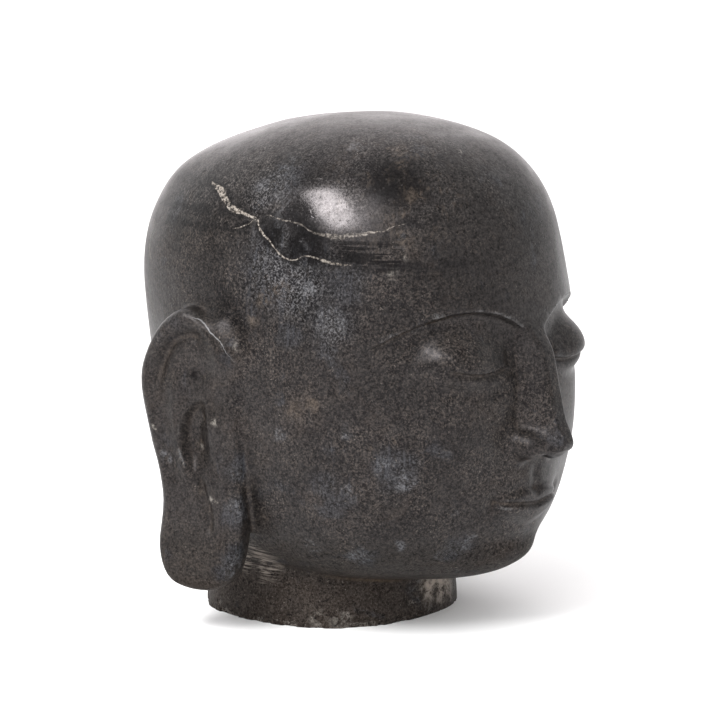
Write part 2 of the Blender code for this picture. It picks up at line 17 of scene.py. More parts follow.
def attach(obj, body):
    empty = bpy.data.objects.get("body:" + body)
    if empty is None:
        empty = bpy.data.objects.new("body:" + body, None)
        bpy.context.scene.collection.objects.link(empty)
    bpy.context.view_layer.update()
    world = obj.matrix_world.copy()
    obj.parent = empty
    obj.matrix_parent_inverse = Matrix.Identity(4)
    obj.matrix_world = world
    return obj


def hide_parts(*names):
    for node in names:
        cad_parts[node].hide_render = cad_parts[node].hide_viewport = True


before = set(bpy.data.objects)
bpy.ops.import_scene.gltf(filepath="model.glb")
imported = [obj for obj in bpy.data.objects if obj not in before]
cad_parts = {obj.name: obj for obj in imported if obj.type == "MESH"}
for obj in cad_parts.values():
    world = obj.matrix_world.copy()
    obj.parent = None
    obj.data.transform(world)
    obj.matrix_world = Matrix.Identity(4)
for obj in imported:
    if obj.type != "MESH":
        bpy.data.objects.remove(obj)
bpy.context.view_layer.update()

# The block of stone, as in the solid.
OVERALL_HEIGHT = 0.331
OVERALL_WIDTH = 0.289
CHIN_HEIGHT = 0.03
NECK_WIDTH = 0.158
NECK_DEPTH = 0.154
NECK_FLARE = 0.002
NECK_POWER = 2.4
EAR_STANDING = 0.0225
SKULL_WIDTH = OVERALL_WIDTH - 2 * EAR_STANDING
SKULL_DEPTH = 0.284
SKULL_SETBACK = -0.0175
SKULL_WIDEST_HEIGHT = 0.221
SKULL_FOOT_HEIGHT = CHIN_HEIGHT + 0.016
CROWN_SLOPE = math.radians(5.3)
SKULL_PLAN_POWER = 2.2
SKULL_PROFILE_POWER = 2.48
FACE_WIDTH = SKULL_WIDTH - 0.012
FACE_DEPTH = 0.24
FACE_SETBACK = SKULL_SETBACK - 0.0195
FACE_MIDDLE_HEIGHT = 0.134
FACE_TOP_HEIGHT = 0.262
FACE_PLAN_POWER = 2.35
FACE_PROFILE_POWER = 3.2
FACE_JOIN = 0.03
JAW_JOIN = 0.004
NAPE_JOIN = 0.03
TEMPLE_HOLLOW = 0.0016
TEMPLE_HOLLOW_PLACE = np.array([SKULL_WIDTH / 2, FACE_SETBACK - 0.045, 0.232])
TEMPLE_HOLLOW_RADII = np.array([0.04, 0.034, 0.02])

# The ears, with the lines carved in them as shares of their width, from the front edge, and of their length.
EAR_LENGTH = 0.1828
EAR_WIDTH = 0.07
EAR_THICKNESS = 0.021
EAR_FOOT_HEIGHT = 0.0295
EAR_SETBACK = SKULL_SETBACK - 0.0059
EAR_SINK = 0.0029
EAR_FLARE = math.radians(13)
EAR_JOIN = 0.005
EAR_TOP_JOIN = 0.022
EAR_EDGE_ROUNDING = 0.0035
RIM_HEIGHT = 0.0026
GROOVE_DEPTH = 0.0036
BOWL_DEPTH = 0.0062
FLAP_HEIGHT = 0.003
LOBE_FULLNESS = 0.0022
EAR_GROOVE = (
    (0.84, 0.66), (0.825, 0.725), (0.795, 0.785), (0.745, 0.836), (0.66, 0.88), (0.54, 0.901), (0.44, 0.903),
    (0.33, 0.888),
)
EAR_BOWL = (
    (0.33, 0.655), (0.4, 0.648), (0.455, 0.625), (0.49, 0.597), (0.502, 0.565), (0.5, 0.53), (0.485, 0.495),
    (0.455, 0.46), (0.42, 0.43),
)
EAR_FOLD = ((0.62, 0.79), (0.64, 0.7), (0.625, 0.6), (0.595, 0.52), (0.55, 0.455), (0.49, 0.4), (0.44, 0.375))
EAR_CHANNEL = ((0.42, 0.415), (0.38, 0.36), (0.345, 0.32), (0.305, 0.26), (0.305, 0.19))
EAR_HOLLOW = ((0.56, 0.78), (0.42, 0.785), (0.3, 0.76))
EAR_OUTLINE = (
    (0.55, 1.00), (0.8, 0.942), (0.97, 0.828), (1.02, 0.718), (0.94, 0.55), (0.86, 0.435), (0.81, 0.311),
    (0.85, 0.148), (0.77, 0.042), (0.57, 0.003), (0.29, 0.006), (0.1, 0.065), (0.01, 0.206), (0.00, 0.359),
    (0.00, 0.512), (0.03, 0.722), (0.12, 0.861), (0.31, 0.957),
)

# The face, from a drawing manual's proportions: five eyes wide, and three and a half units from chin to crown.
UNIT = (OVERALL_HEIGHT - CHIN_HEIGHT) / 3.5
NOSE_BASE_HEIGHT = CHIN_HEIGHT + UNIT
BROW_HEIGHT = CHIN_HEIGHT + 2 * UNIT
EYE_HEIGHT = (OVERALL_HEIGHT + CHIN_HEIGHT) / 2
MOUTH_HEIGHT = NOSE_BASE_HEIGHT - UNIT / 3
CHIN_CREASE_HEIGHT = NOSE_BASE_HEIGHT - 2 * UNIT / 3
EYE_WIDTH = SKULL_WIDTH / 5
EYE_SPREAD = EYE_WIDTH
NOSE_WIDTH = EYE_WIDTH
MOUTH_WIDTH = 1.3 * EYE_WIDTH
EYEBALL_RADII = UNIT * np.array([0.36, 0.3, 0.26])
EYE_STAND = 0.03 * UNIT
BROW_PEAK_SPREAD = 0.62 * UNIT
BROW_RISE = 0.15 * UNIT
BROW_ARCH = 0.3 * UNIT
BROW_REACH = 0.65 * UNIT
BROW_RECESS = 0.076 * UNIT
LID_THICKNESS = 0.023 * UNIT
LID_SAG = 0.044 * UNIT
NOSE_PROJECTION = 0.315 * UNIT
NOSE_RIDGE_WIDTH = 0.095 * UNIT
NOSE_FOOT_WIDTH = 0.475 * UNIT
NOSE_ROOT_SHARE = 0.28
NOSE_TUCK = 0.3
TIP_HEIGHT = NOSE_BASE_HEIGHT + 0.145 * UNIT
NOSE_TIP_RADII = UNIT * np.array([0.15, 0.14, 0.13])
NOSE_WING_RADII = UNIT * np.array([0.105, 0.17, 0.112])
NOSTRIL_RADII = UNIT * np.array([0.056, 0.087, 0.056])
MOUTH_FULLNESS = 0.1 * UNIT
UPPER_LIP_HEIGHT = 0.102 * UNIT
LOWER_LIP_HEIGHT = 0.126 * UNIT
LIP_FULLNESS = 0.038 * UNIT
LIP_EDGE = 0.064 * UNIT
PARTING_DEPTH = 0.026 * UNIT
CORNER_LIFT = 0.04 * UNIT
CHIN_HOLLOW = 0.048 * UNIT
CHIN_FULLNESS = 0.145 * UNIT
CHEEK_FULLNESS = 0.04 * UNIT
EDGE = 0.0014

# How finely the stone is carved here, and how its points move.
ROUGH_VOXEL = 0.0024
CARVING_VOXEL = 0.0012
LEAST_STEEPNESS = 0.35
LONGEST_STEP = 0.0035
NUDGE = 0.0002
STONE_TRIANGLES = 192000
FAR_AWAY = 2 * OVERALL_HEIGHT
NEAR_EAR = 0.025
FOOT_SPARE = 0.008
POINTS_AT_ONCE = 20000
WORKERS = 4

# The wear: how far an edge or hollow stands off for its full mark, and how deep the chips and nicks are.
FULL_MARK = 0.0004
CHIP_DEPTH = 0.0015
NICK_DEPTH = 0.0006

# Small dents on the right ear, and where the crown was left a little flat or full by hand: the place, its reach
# each way and how far it stands out.
HAND_MARKS = (
    ((-0.1405, 0.0262, 0.1128), (0.005, 0.005, 0.0085), -0.0016),
    ((-0.138, 0.0215, 0.1045), (0.004, 0.004, 0.005), -0.0012),
    ((-0.137, 0.016, 0.14), (0.0026, 0.0026, 0.003), -0.0014),
    ((-0.04, 0.036, 0.318), (0.026, 0.026, 0.02), -0.0024),
    ((-0.066, 0.068, 0.288), (0.024, 0.024, 0.018), 0.0018),
    ((0.04, -0.066, 0.32), (0.028, 0.028, 0.018), -0.0013),
)

LATTICE = np.random.default_rng(11).random((64, 64, 64)).astype(np.float32)


def length(rows):
    return np.sqrt((rows * rows).sum(axis=1))


def ramp(share):
    """0 below 0 and 1 above 1, with a soft start and end."""
    share = np.clip(share, 0, 1)
    return share * share * (3 - 2 * share)


def bell(share):
    """1 at 0, falling off softly on both sides to near nothing at 2."""
    return np.exp(-share * share)


def join(a, b, reach):
    """The nearer of two distances, with a fillet of that reach between the two shapes."""
    nearness = np.maximum(reach - np.abs(a - b), 0) / reach
    return np.minimum(a, b) - nearness * nearness * reach / 4


def cut(a, b, reach):
    """Shape a with shape b taken out of it, and the edge eased over that reach."""
    return -join(-a, b, reach)


def overlap(a, b, reach):
    """What is inside both shapes, with the edge eased over that reach."""
    return -join(-a, -b, reach)


def mirrored(points):
    """The points, with those on the head's right moved over to its left."""
    return np.column_stack([np.abs(points[:, 0]), points[:, 1:]])


def lumps(points, size, layer):
    """Soft random values from -1 to 1 that change over about that size."""
    grid = np.asarray(points) / size + 100 + 7.31 * layer
    cell = np.floor(grid).astype(int)
    share = ramp(grid - cell)
    value = np.zeros(len(grid))
    for corner in np.ndindex(2, 2, 2):
        at = (cell + corner) % 64
        weight = np.prod(np.where(corner, share, 1 - share), axis=1)
        value += weight * LATTICE[at[:, 0], at[:, 1], at[:, 2]]
    return 2 * value - 1


def side_by_side(work, points):
    """Does the work on shares of the points at the same time."""
    shares = np.array_split(points, max(1, len(points) // POINTS_AT_ONCE))
    with ThreadPoolExecutor(WORKERS) as hands:
        return np.concatenate(list(hands.map(work, shares)))


def ellipsoid(points, centre, radii):
    offset = (points - centre) / radii
    reach = length(offset)
    return reach * (reach - 1) / np.maximum(length(offset / radii), 1e-9)


def rounded_block(points, width, depth, above, below, plan_power, profile_power):
    """An ellipsoid with fuller corners, which may rise higher above its middle than it reaches down below it."""
    rise = np.where(points[:, 2] > 0, above, below)
    share = np.abs(points) / np.column_stack([np.full(len(rise), width / 2), np.full(len(rise), depth / 2), rise])
    around = (share[:, 0] ** plan_power + share[:, 1] ** plan_power) ** (profile_power / plan_power)
    reach = (around + share[:, 2] ** profile_power) ** (1 / profile_power)
    return length(points) * (1 - 1 / np.maximum(reach, 1e-6))


def crown_rise():
    """The skull's rise above its widest level, along its leaning axis, that brings its top to the full height."""
    power = SKULL_PROFILE_POWER / (SKULL_PROFILE_POWER - 1)
    lift = (math.sin(CROWN_SLOPE) * SKULL_DEPTH / 2) ** power
    return ((OVERALL_HEIGHT - SKULL_WIDEST_HEIGHT) ** power - lift) ** (1 / power) / math.cos(CROWN_SLOPE)


CROWN_RISE = crown_rise()


def skull(points):
    offset = points - (0, SKULL_SETBACK, SKULL_WIDEST_HEIGHT)
    offset = offset @ np.array(Matrix.Rotation(-CROWN_SLOPE, 3, "X"))
    rises = CROWN_RISE, SKULL_WIDEST_HEIGHT - SKULL_FOOT_HEIGHT
    return rounded_block(offset, SKULL_WIDTH, SKULL_DEPTH, *rises, SKULL_PLAN_POWER, SKULL_PROFILE_POWER)


def face_block(points):
    offset = points - (0, FACE_SETBACK, FACE_MIDDLE_HEIGHT)
    rises = FACE_TOP_HEIGHT - FACE_MIDDLE_HEIGHT, FACE_MIDDLE_HEIGHT - CHIN_HEIGHT
    return rounded_block(offset, FACE_WIDTH, FACE_DEPTH, *rises, FACE_PLAN_POWER, FACE_PROFILE_POWER)


def neck(points):
    """A round column that runs on below the floor, where it is cut off later."""
    flare = NECK_FLARE * (1 - ramp(points[:, 2] / CHIN_HEIGHT))
    reach = np.abs(points[:, :2]) / (NECK_WIDTH / 2, NECK_DEPTH / 2)
    share = (reach**NECK_POWER).sum(axis=1) ** (1 / NECK_POWER)
    side = (share - 1) * min(NECK_WIDTH, NECK_DEPTH) / 2 - flare
    return np.maximum(side, points[:, 2] - SKULL_WIDEST_HEIGHT)


def bare_head(points):
    """The head and neck without ears or features, and with a shallow hollow at each temple."""
    head = join(skull(points), face_block(points), FACE_JOIN)
    head = head + TEMPLE_HOLLOW * bell(length((mirrored(points) - TEMPLE_HOLLOW_PLACE) / TEMPLE_HOLLOW_RADII))
    reach = JAW_JOIN + (NAPE_JOIN - JAW_JOIN) * ramp(points[:, 1] / (NECK_DEPTH / 2))
    return join(head, neck(points), reach)


def surface_along(inner, outer):
    """The point where the way from a place inside the bare head to one outside it meets the surface."""
    inner, outer = np.array(inner, float), np.array(outer, float)
    for _ in range(40):
        middle = (inner + outer) / 2
        if bare_head(middle[None, :])[0] > 0:
            outer = middle
        else:
            inner = middle
    return inner


def front_of(x, height):
    """How far forward the bare head's surface lies at that place of the face."""
    return surface_along((x, 0, height), (x, -FAR_AWAY, height))[1]


def smooth_line(corners, steps):
    """The points of a smooth line through all corners but the first and the last, which only steer it."""
    line = []
    for a, b, c, d in zip(corners[:-3], corners[1:-2], corners[2:-1], corners[3:]):
        start, end, way = (c - a) / 2, (d - b) / 2, c - b
        for t in np.arange(steps) / steps:
            line.append(b + t * start + t**2 * (3 * way - 2 * start - end) + t**3 * (start + end - 2 * way))
    return line


def closed_curve(corners, steps):
    return np.array(smooth_line(np.array([corners[-1], *corners, *corners[:2]]), steps))


def open_curve(corners, steps):
    """A smooth line through the corners, whose ends run on straight."""
    corners = np.array(corners)
    ends = np.vstack([2 * corners[0] - corners[1], corners, 2 * corners[-1] - corners[-2]])
    return np.array(smooth_line(ends, steps) + [corners[-1]])


def distance_to_line(places, line):
    """How far each place is from a line of straight pieces, and what share of the line is before it."""
    nearest = np.full(len(places), np.inf)
    share_there = np.zeros(len(places))
    reached = np.concatenate([[0], np.cumsum(length(np.diff(line, axis=0)))])
    for start, end, before, after in zip(line[:-1], line[1:], reached[:-1], reached[1:]):
        along = end - start
        share = np.clip(((places - start) @ along) / (along @ along), 0, 1)
        away = length(places - start - share[:, None] * along)
        closer = away < nearest
        nearest[closer] = away[closer]
        share_there[closer] = (before + share[closer] * (after - before)) / reached[-1]
    return nearest, share_there


def inside_outline(places, outline):
    """Whether each place is inside a closed outline, by counting the edges that a line going up crosses."""
    crossed = np.zeros(len(places), int)
    for start, end in zip(outline, np.roll(outline, -1, axis=0)):
        spans = (start[0] > places[:, 0]) != (end[0] > places[:, 0])
        if start[0] != end[0]:
            height = start[1] + (end[1] - start[1]) * (places[:, 0] - start[0]) / (end[0] - start[0])
            crossed += spans & (height > places[:, 1])
    return crossed % 2 == 1


EAR_SCALE = np.array([EAR_WIDTH, EAR_LENGTH])
EAR_LINE = closed_curve(EAR_OUTLINE, 4) * EAR_SCALE
EAR_ROOT_HEIGHT = EAR_FOOT_HEIGHT + EAR_LENGTH / 2
EAR_SPREAD = surface_along((0, EAR_SETBACK, EAR_ROOT_HEIGHT), (FAR_AWAY, EAR_SETBACK, EAR_ROOT_HEIGHT))[0] - EAR_SINK


def on_the_ear(points):
    """Each point's place on the ear, from its front edge and its foot, and its height off the ear's middle."""
    spread = np.abs(points[:, 0]) - EAR_SPREAD
    back = points[:, 1] - EAR_SETBACK
    across = spread * math.sin(EAR_FLARE) + back * math.cos(EAR_FLARE)
    off = spread * math.cos(EAR_FLARE) - back * math.sin(EAR_FLARE)
    return np.column_stack([across, points[:, 2] - EAR_FOOT_HEIGHT]), off


def stroke(places, corners, width):
    """1 along a smooth line through the corners, in shares of the ear, softening to 0 beside it and at its ends."""
    away, share = distance_to_line(places, open_curve(corners, 3) * EAR_SCALE)
    start, end = ramp(0.25 + share / 0.3), ramp(0.25 + (1 - share) / 0.3)
    return bell(away / (width * EAR_WIDTH)) * start * end


def scoop(places, corners, steep, gentle):
    """A hollow along a smooth line, with a steep wall behind the line and a gentle slope before it."""
    line = open_curve(corners, 3)
    away, share = distance_to_line(places, line * EAR_SCALE)
    across, up = (places / EAR_SCALE).T
    upward = np.argsort(line[:, 1])
    behind = across > np.interp(up, line[upward, 1], line[upward, 0])
    start, end = ramp(0.35 + share / 0.3), ramp(0.3 + (1 - share) / 0.4)
    return ramp(1.3 - 1.3 * away / (np.where(behind, steep, gentle) * EAR_WIDTH)) * start * end


def swelling(places, centre, radii):
    """1 at a place on the ear, softening to 0 around it; the centre and the radii are shares of the ear."""
    return bell(length((places / EAR_SCALE - centre) / radii))


def ear_relief(places, edge):
    """How far the ear's outer side stands out or is hollowed, from its place and its distance inside the outline."""
    across, up = (places / EAR_SCALE).T
    behind = ramp((across - 0.05) / 0.25 + ramp((up - 0.8) / 0.1))
    rim = bell((edge / EAR_WIDTH + 0.08) / 0.08) * ramp((up - 0.34) / 0.2) * behind
    groove = stroke(places, EAR_GROOVE, 0.055) * ramp((up - 0.67) / 0.12)
    bowl = 0.9 * scoop(places, EAR_BOWL, 0.105, 0.24)
    hollow = stroke(places, EAR_HOLLOW, 0.11)
    flap = swelling(places, (0.23, 0.6), (0.15, 0.06))
    fold = stroke(places, EAR_FOLD, 0.07)
    channel = stroke(places, EAR_CHANNEL, 0.048)
    lobe = swelling(places, (0.5, 0.13), (0.36, 0.11))
    notch = swelling(places, (-0.02, 0.395), (0.11, 0.04))
    raised = RIM_HEIGHT * (rim + fold) + FLAP_HEIGHT * flap + LOBE_FULLNESS * lobe
    return raised - GROOVE_DEPTH * (groove + 0.8 * channel + 0.5 * hollow + notch) - BOWL_DEPTH * bowl


def ears(points):
    """The ears' signed distance, worked out near them only: anywhere else they are taken as that far away."""
    places, off = on_the_ear(points)
    near = (np.abs(off) < EAR_THICKNESS / 2 + NEAR_EAR) & (places > -NEAR_EAR).all(axis=1)
    near &= (places < EAR_SCALE + NEAR_EAR).all(axis=1)
    distance = np.full(len(points), NEAR_EAR)
    places, off = places[near], off[near]
    edge, _ = distance_to_line(places, np.vstack([EAR_LINE, EAR_LINE[:1]]))
    edge = np.where(inside_outline(places, EAR_LINE), -edge, edge)
    outer = off - EAR_THICKNESS / 2 - ear_relief(places, edge)
    inner = -off - EAR_THICKNESS / 2
    distance[near] = overlap(overlap(outer, inner, EAR_EDGE_ROUNDING), edge, 2 * EAR_EDGE_ROUNDING)
    return distance


def brow_line(spread):
    """The height of the carved edge under the brow, which arches from the nose to the temple."""
    share = (spread - BROW_PEAK_SPREAD) / BROW_REACH
    return BROW_HEIGHT + BROW_RISE - BROW_ARCH * np.abs(share) ** 2.1


def socket(spread, height):
    """The recess under the brow: it starts at the brow's edge and is gone by the cheek."""
    below = brow_line(spread) - height
    share = np.abs(spread - BROW_PEAK_SPREAD) / BROW_REACH
    start = 1 - np.exp(-np.maximum(below, 0) / (1.5 * EDGE))
    end = 1 - ramp((below / UNIT - 0.14) / 0.49)
    return -BROW_RECESS * start * end * ramp((1.12 - share) / 0.6)


def nose_bridge(spread, height, under):
    """The face's surface with the nose on it: a soft ridge that grows from between the brows to the tip."""
    root = BROW_HEIGHT + 0.05 * UNIT
    down = np.clip((root - height) / (root - TIP_HEIGHT), 0, 1)
    stand = NOSE_PROJECTION * (NOSE_ROOT_SHARE * ramp(down / 0.3) + (1 - NOSE_ROOT_SHARE) * down**1.5)
    foot = NOSE_FOOT_WIDTH / 2 * (1 - NOSE_ROOT_SHARE * (1 - down))
    share = ramp((foot - spread) / (foot - NOSE_RIDGE_WIDTH / 2))
    share = share * ramp(((height - NOSE_BASE_HEIGHT) / UNIT + 0.012) / 0.116)
    stand = stand * (1 - NOSE_TUCK * ramp((TIP_HEIGHT - height) / (TIP_HEIGHT - NOSE_BASE_HEIGHT)))
    return under * (1 - share) + stand * share


def eye_line(spread):
    """The height of the upper lid's edge, which sags between the corners of a lowered eye."""
    share = (spread - EYE_SPREAD) / (EYE_WIDTH / 2)
    return EYE_HEIGHT - 0.25 * LID_SAG * (1 - share) - LID_SAG * (1 - share**2)


def lids(spread, height):
    """The upper lid's edge over the lower one, and the soft pouch below."""
    over = height - eye_line(spread)
    share = np.abs(spread - EYE_SPREAD) / (EYE_WIDTH / 2)
    upper = ramp(over / EDGE + 0.5) * (1 - ramp((over / EYE_WIDTH - 0.04) / 0.29))
    slit = 0.6 * bell((over + EDGE) / EDGE)
    lower = 0.45 * bell((over / EYE_WIDTH + 0.13) / 0.061)
    pouch = 0.5 * bell((over / EYE_WIDTH + 0.275) / 0.092)
    return LID_THICKNESS * (upper - slit + lower - pouch) * ramp((1.12 - share) / 0.35)


def lips(over, share):
    """The two lips, from the height over the line between them and the share of the way to the mouth's corner."""
    taper = np.sqrt(np.clip(1 - share**2, 0, 1))
    bow = 1 - 0.16 * bell(share / 0.14) + 0.06 * bell((share - 0.28) / 0.16)
    top, bottom = UPPER_LIP_HEIGHT * bow * taper**1.6, LOWER_LIP_HEIGHT * taper
    upper = ramp((top - over) / LIP_EDGE + 0.6) * ramp(over / (2 * EDGE) + 0.5)
    lower = ramp((bottom + over) / (1.3 * LIP_EDGE) + 0.6) * ramp(0.5 - over / (2 * EDGE))
    lower = lower * (1.5 - 0.5 * ramp(-over / LOWER_LIP_HEIGHT))
    return LIP_FULLNESS * (upper + lower) * np.sqrt(np.clip(1 - (share / 1.02) ** 4, 0, 1))


def mouth(spread, height):
    """The mound round the mouth, the lips, the line between them, and the channel above."""
    share = spread / (MOUTH_WIDTH / 2)
    over = height - MOUTH_HEIGHT - CORNER_LIFT * (share**2 - 0.3 * bell(share / 0.22))
    mound = MOUTH_FULLNESS * bell(np.hypot(spread / 0.465, (height - MOUTH_HEIGHT) / 0.384) ** 1.4 / UNIT**1.4)
    parting = bell(over / (0.5 * EDGE + 0.009 * UNIT)) * ramp((1.08 - share) / 0.12)
    corner_away = np.hypot(spread - 0.52 * MOUTH_WIDTH, height - MOUTH_HEIGHT - 1.1 * CORNER_LIFT)
    corner = bell(corner_away / (0.07 * UNIT))
    above = (over - UPPER_LIP_HEIGHT) / (NOSE_BASE_HEIGHT - MOUTH_HEIGHT - UPPER_LIP_HEIGHT)
    channel = 0.6 * bell(spread / (0.049 * UNIT)) * ramp((above + 0.1) / 0.3) * ramp((1 - above) / 0.4)
    return mound + lips(over, share) - PARTING_DEPTH * (parting + corner + channel)


def chin_and_cheeks(spread, height):
    """The rounded chin with the hollow above it, and the soft fullness of the cheeks."""
    across, up = spread / UNIT, (height - CHIN_CREASE_HEIGHT) / UNIT
    hollow = -CHIN_HOLLOW * bell((up - 0.035) / 0.087) * bell(across / 0.3)
    chin_up = (height - CHIN_HEIGHT) / UNIT
    chin = CHIN_FULLNESS * bell(np.hypot(across / 0.39, (chin_up - 0.22) / 0.22) ** 1.3)
    cheek_up = (height - NOSE_BASE_HEIGHT) / UNIT
    cheek = CHEEK_FULLNESS * bell(np.hypot((across - 0.77) / 0.35, (cheek_up - 0.12) / 0.4))
    return hollow + chin + cheek


def facing_front(points):
    """1 on the face's side of the head and 0 behind the temples."""
    return ramp((-points[:, 1] / UNIT - 0.58) / 0.35)


def feature_anchors():
    """Where the rounded masses of the face sit on the bare head."""
    wing_height = NOSE_BASE_HEIGHT + 0.128 * UNIT
    nose_front = front_of(0, wing_height)
    eye_front = front_of(EYE_SPREAD, EYE_HEIGHT) - EYE_STAND
    return {
        "eye": np.array([EYE_SPREAD, eye_front + EYEBALL_RADII[1], EYE_HEIGHT + 0.012 * UNIT]),
        "tip": np.array([0, nose_front - NOSE_PROJECTION + 0.128 * UNIT, TIP_HEIGHT]),
        "wing": np.array([NOSE_WIDTH / 2 - NOSE_WING_RADII[0], nose_front - 0.05 * UNIT, wing_height]),
        "nostril": np.array([0.093 * UNIT, nose_front - 0.145 * UNIT, NOSE_BASE_HEIGHT + 0.012 * UNIT]),
    }


ANCHORS = feature_anchors()


def carved_face(points, stone, front):
    """The bare head's distance at points in front of the temples, with the features carved in."""
    points = mirrored(points)
    spread, height = points[:, 0], points[:, 2]
    relief = nose_bridge(spread, height, socket(spread, height)) + mouth(spread, height)
    relief = relief + chin_and_cheeks(spread, height)
    stone = stone - relief * front
    stone = join(stone, ellipsoid(points, ANCHORS["eye"], EYEBALL_RADII), 0.07 * UNIT)
    stone = stone - lids(spread, height) * front
    stone = join(stone, ellipsoid(points, ANCHORS["tip"], NOSE_TIP_RADII), 0.08 * UNIT)
    stone = join(stone, ellipsoid(points, ANCHORS["wing"], NOSE_WING_RADII), 0.09 * UNIT)
    return cut(stone, ellipsoid(points, ANCHORS["nostril"], NOSTRIL_RADII), 0.035 * UNIT)


def ear_join(points):
    """How widely an ear runs into the head: most where its top front rises out of the temple."""
    high = ramp((points[:, 2] - EAR_FOOT_HEIGHT - 0.72 * EAR_LENGTH) / (0.14 * EAR_LENGTH))
    forward = ramp((EAR_SETBACK + 0.45 * EAR_WIDTH - points[:, 1]) / (0.35 * EAR_WIDTH))
    return EAR_JOIN + (EAR_TOP_JOIN - EAR_JOIN) * high * forward


def carved_head(points):
    """The signed distance, near enough, from the finished stone: negative inside."""
    stone = bare_head(points)
    front = facing_front(points)
    face = front > 0
    stone[face] = carved_face(points[face], stone[face], front[face])
    return join(stone, ears(points), ear_join(points))


def within_reach(value, steepness, points):
    """How far to move for a value of that steepness; the spare length below the floor stays where it is."""
    step = np.clip(value / steepness, -LONGEST_STEP, LONGEST_STEP)
    return np.where(points[:, 2] > -FOOT_SPARE / 2, step, 0)


def sunk_straight(points):
    """Points moved towards the carved surface by the shortest way."""
    value = carved_head(points)
    slope = np.column_stack([(carved_head(points + NUDGE * way) - value) / NUDGE for way in np.eye(3)])
    steepness = np.maximum(length(slope), LEAST_STEEPNESS)
    return points - (within_reach(value, steepness, points) / steepness)[:, None] * slope


def sunk_along_normals(rows):
    """Points moved towards the carved surface along the normals that follow them in each row."""
    points, normals = rows[:, :3], rows[:, 3:]
    value = carved_head(points)
    steepness = np.maximum((carved_head(points + NUDGE * normals) - value) / NUDGE, LEAST_STEEPNESS)
    return points - within_reach(value, steepness, points)[:, None] * normals


def with_modifier(obj, kind, **settings):
    """Applies one modifier to the object."""
    modifier = obj.modifiers.new(kind.title(), kind)
    for name, value in settings.items():
        setattr(modifier, name, value)
    bpy.context.view_layer.update()
    mesh = bpy.data.meshes.new_from_object(obj.evaluated_get(bpy.context.evaluated_depsgraph_get()))
    obj.modifiers.clear()
    old, obj.data = obj.data, mesh
    bpy.data.meshes.remove(old)


def rows_of(items, name, width, kind=float):
    """One of the items' properties, as a row of numbers for each item."""
    rows = np.empty(len(items) * width, kind)
    items.foreach_get(name, rows)
    return rows.reshape(-1, width)


def edge_ends(mesh):
    return rows_of(mesh.edges, "vertices", 2, int)


def places_of(mesh):
    return rows_of(mesh.vertices, "co", 3)


def normals_of(mesh):
    return rows_of(mesh.vertex_normals, "vector", 3)


def neighbour_mean(values, ends):
    """For each point, the mean of the values of the points that it shares an edge with."""
    near, far = ends.T
    count = np.maximum(np.bincount(ends.ravel(), minlength=len(values)), 1)
    columns = []
    for column in values.reshape(len(values), -1).T:
        total = np.bincount(near, column[far], len(values)) + np.bincount(far, column[near], len(values))
        columns.append(total / count)
    return np.column_stack(columns).reshape(values.shape)


def smoothed(values, ends, rounds):
    for _ in range(rounds):
        values = (values + neighbour_mean(values, ends)) / 2
    return values


def set_places(mesh, places):
    mesh.vertices.foreach_set("co", places.ravel())
    mesh.update()


def settle_mesh(mesh, rounds, spreading=0.0, straight=False):
    """Moves the mesh's points on to the carved surface, while they spread out evenly over it."""
    ends = edge_ends(mesh)
    for _ in range(rounds):
        places = places_of(mesh)
        if spreading:
            set_places(mesh, places + spreading * (neighbour_mean(places, ends) - places))
        if straight:
            set_places(mesh, side_by_side(sunk_straight, places_of(mesh)))
        else:
            set_places(mesh, side_by_side(sunk_along_normals, np.hstack([places_of(mesh), normals_of(mesh)])))


def keep_on_points(mesh, name, values):
    layer = mesh.attributes.new(name, "FLOAT", "POINT")
    layer.data.foreach_set("value", values.astype(np.float32))


def mark_edges_and_hollows(mesh):
    """Keeps on each point how far it stands out on an edge or lies in a groove, for the wear and the dust."""
    ends = edge_ends(mesh)
    places, normals = places_of(mesh), normals_of(mesh)
    standing = ((places - smoothed(places, ends, 6)) * normals).sum(axis=1)
    standing = smoothed(standing, ends, 2)
    keep_on_points(mesh, "edge", np.clip(standing / FULL_MARK, 0, 1))
    keep_on_points(mesh, "hollow", np.clip(-standing / FULL_MARK, 0, 1))


def worked_by_hand(places):
    """How far the stone swells or sinks where the mason's hand strayed from the drawing."""
    feature = facing_front(places) * ramp((0.245 - places[:, 2]) / 0.02) * ramp((places[:, 2] - 0.05) / 0.02)
    sway = 0.0005 * lumps(places, 0.05, 1) + 0.00022 * lumps(places, 0.021, 2)
    move = sway * (1 - 0.7 * feature) + 0.00006 * lumps(places, 0.008, 3)
    for place, radii, stand in HAND_MARKS:
        move += stand * bell(length((places - np.array(place)) / np.array(radii)))
    return move


def weather(mesh):
    """The unevenness of work by hand, the small chips round the neck's sawn edge, and nicks low on the neck."""
    places, normals = places_of(mesh), normals_of(mesh)
    height = places[:, 2]
    move = worked_by_hand(places)
    low = ramp((0.006 - height) / 0.005)
    chip = ramp((lumps(places, 0.0085, 4) + 0.6 * lumps(places, 0.0032, 5) - 0.1) / 0.4) * low
    move -= CHIP_DEPTH * chip
    nick = ramp((lumps(places, 0.006, 6) + 0.4 * lumps(places, 0.0025, 7) - 0.62) / 0.2)
    nick *= ramp((0.022 - height) / 0.02)
    move -= NICK_DEPTH * nick
    set_places(mesh, places + move[:, None] * normals)
    keep_on_points(mesh, "chip", np.clip(chip + nick, 0, 1))


def as_object(work, name):
    """The worked mesh as a new object in the scene."""
    mesh = bpy.data.meshes.new(name)
    work.to_mesh(mesh)
    work.free()
    made = bpy.data.objects.new(name, mesh)
    bpy.context.scene.collection.objects.link(made)
    return made


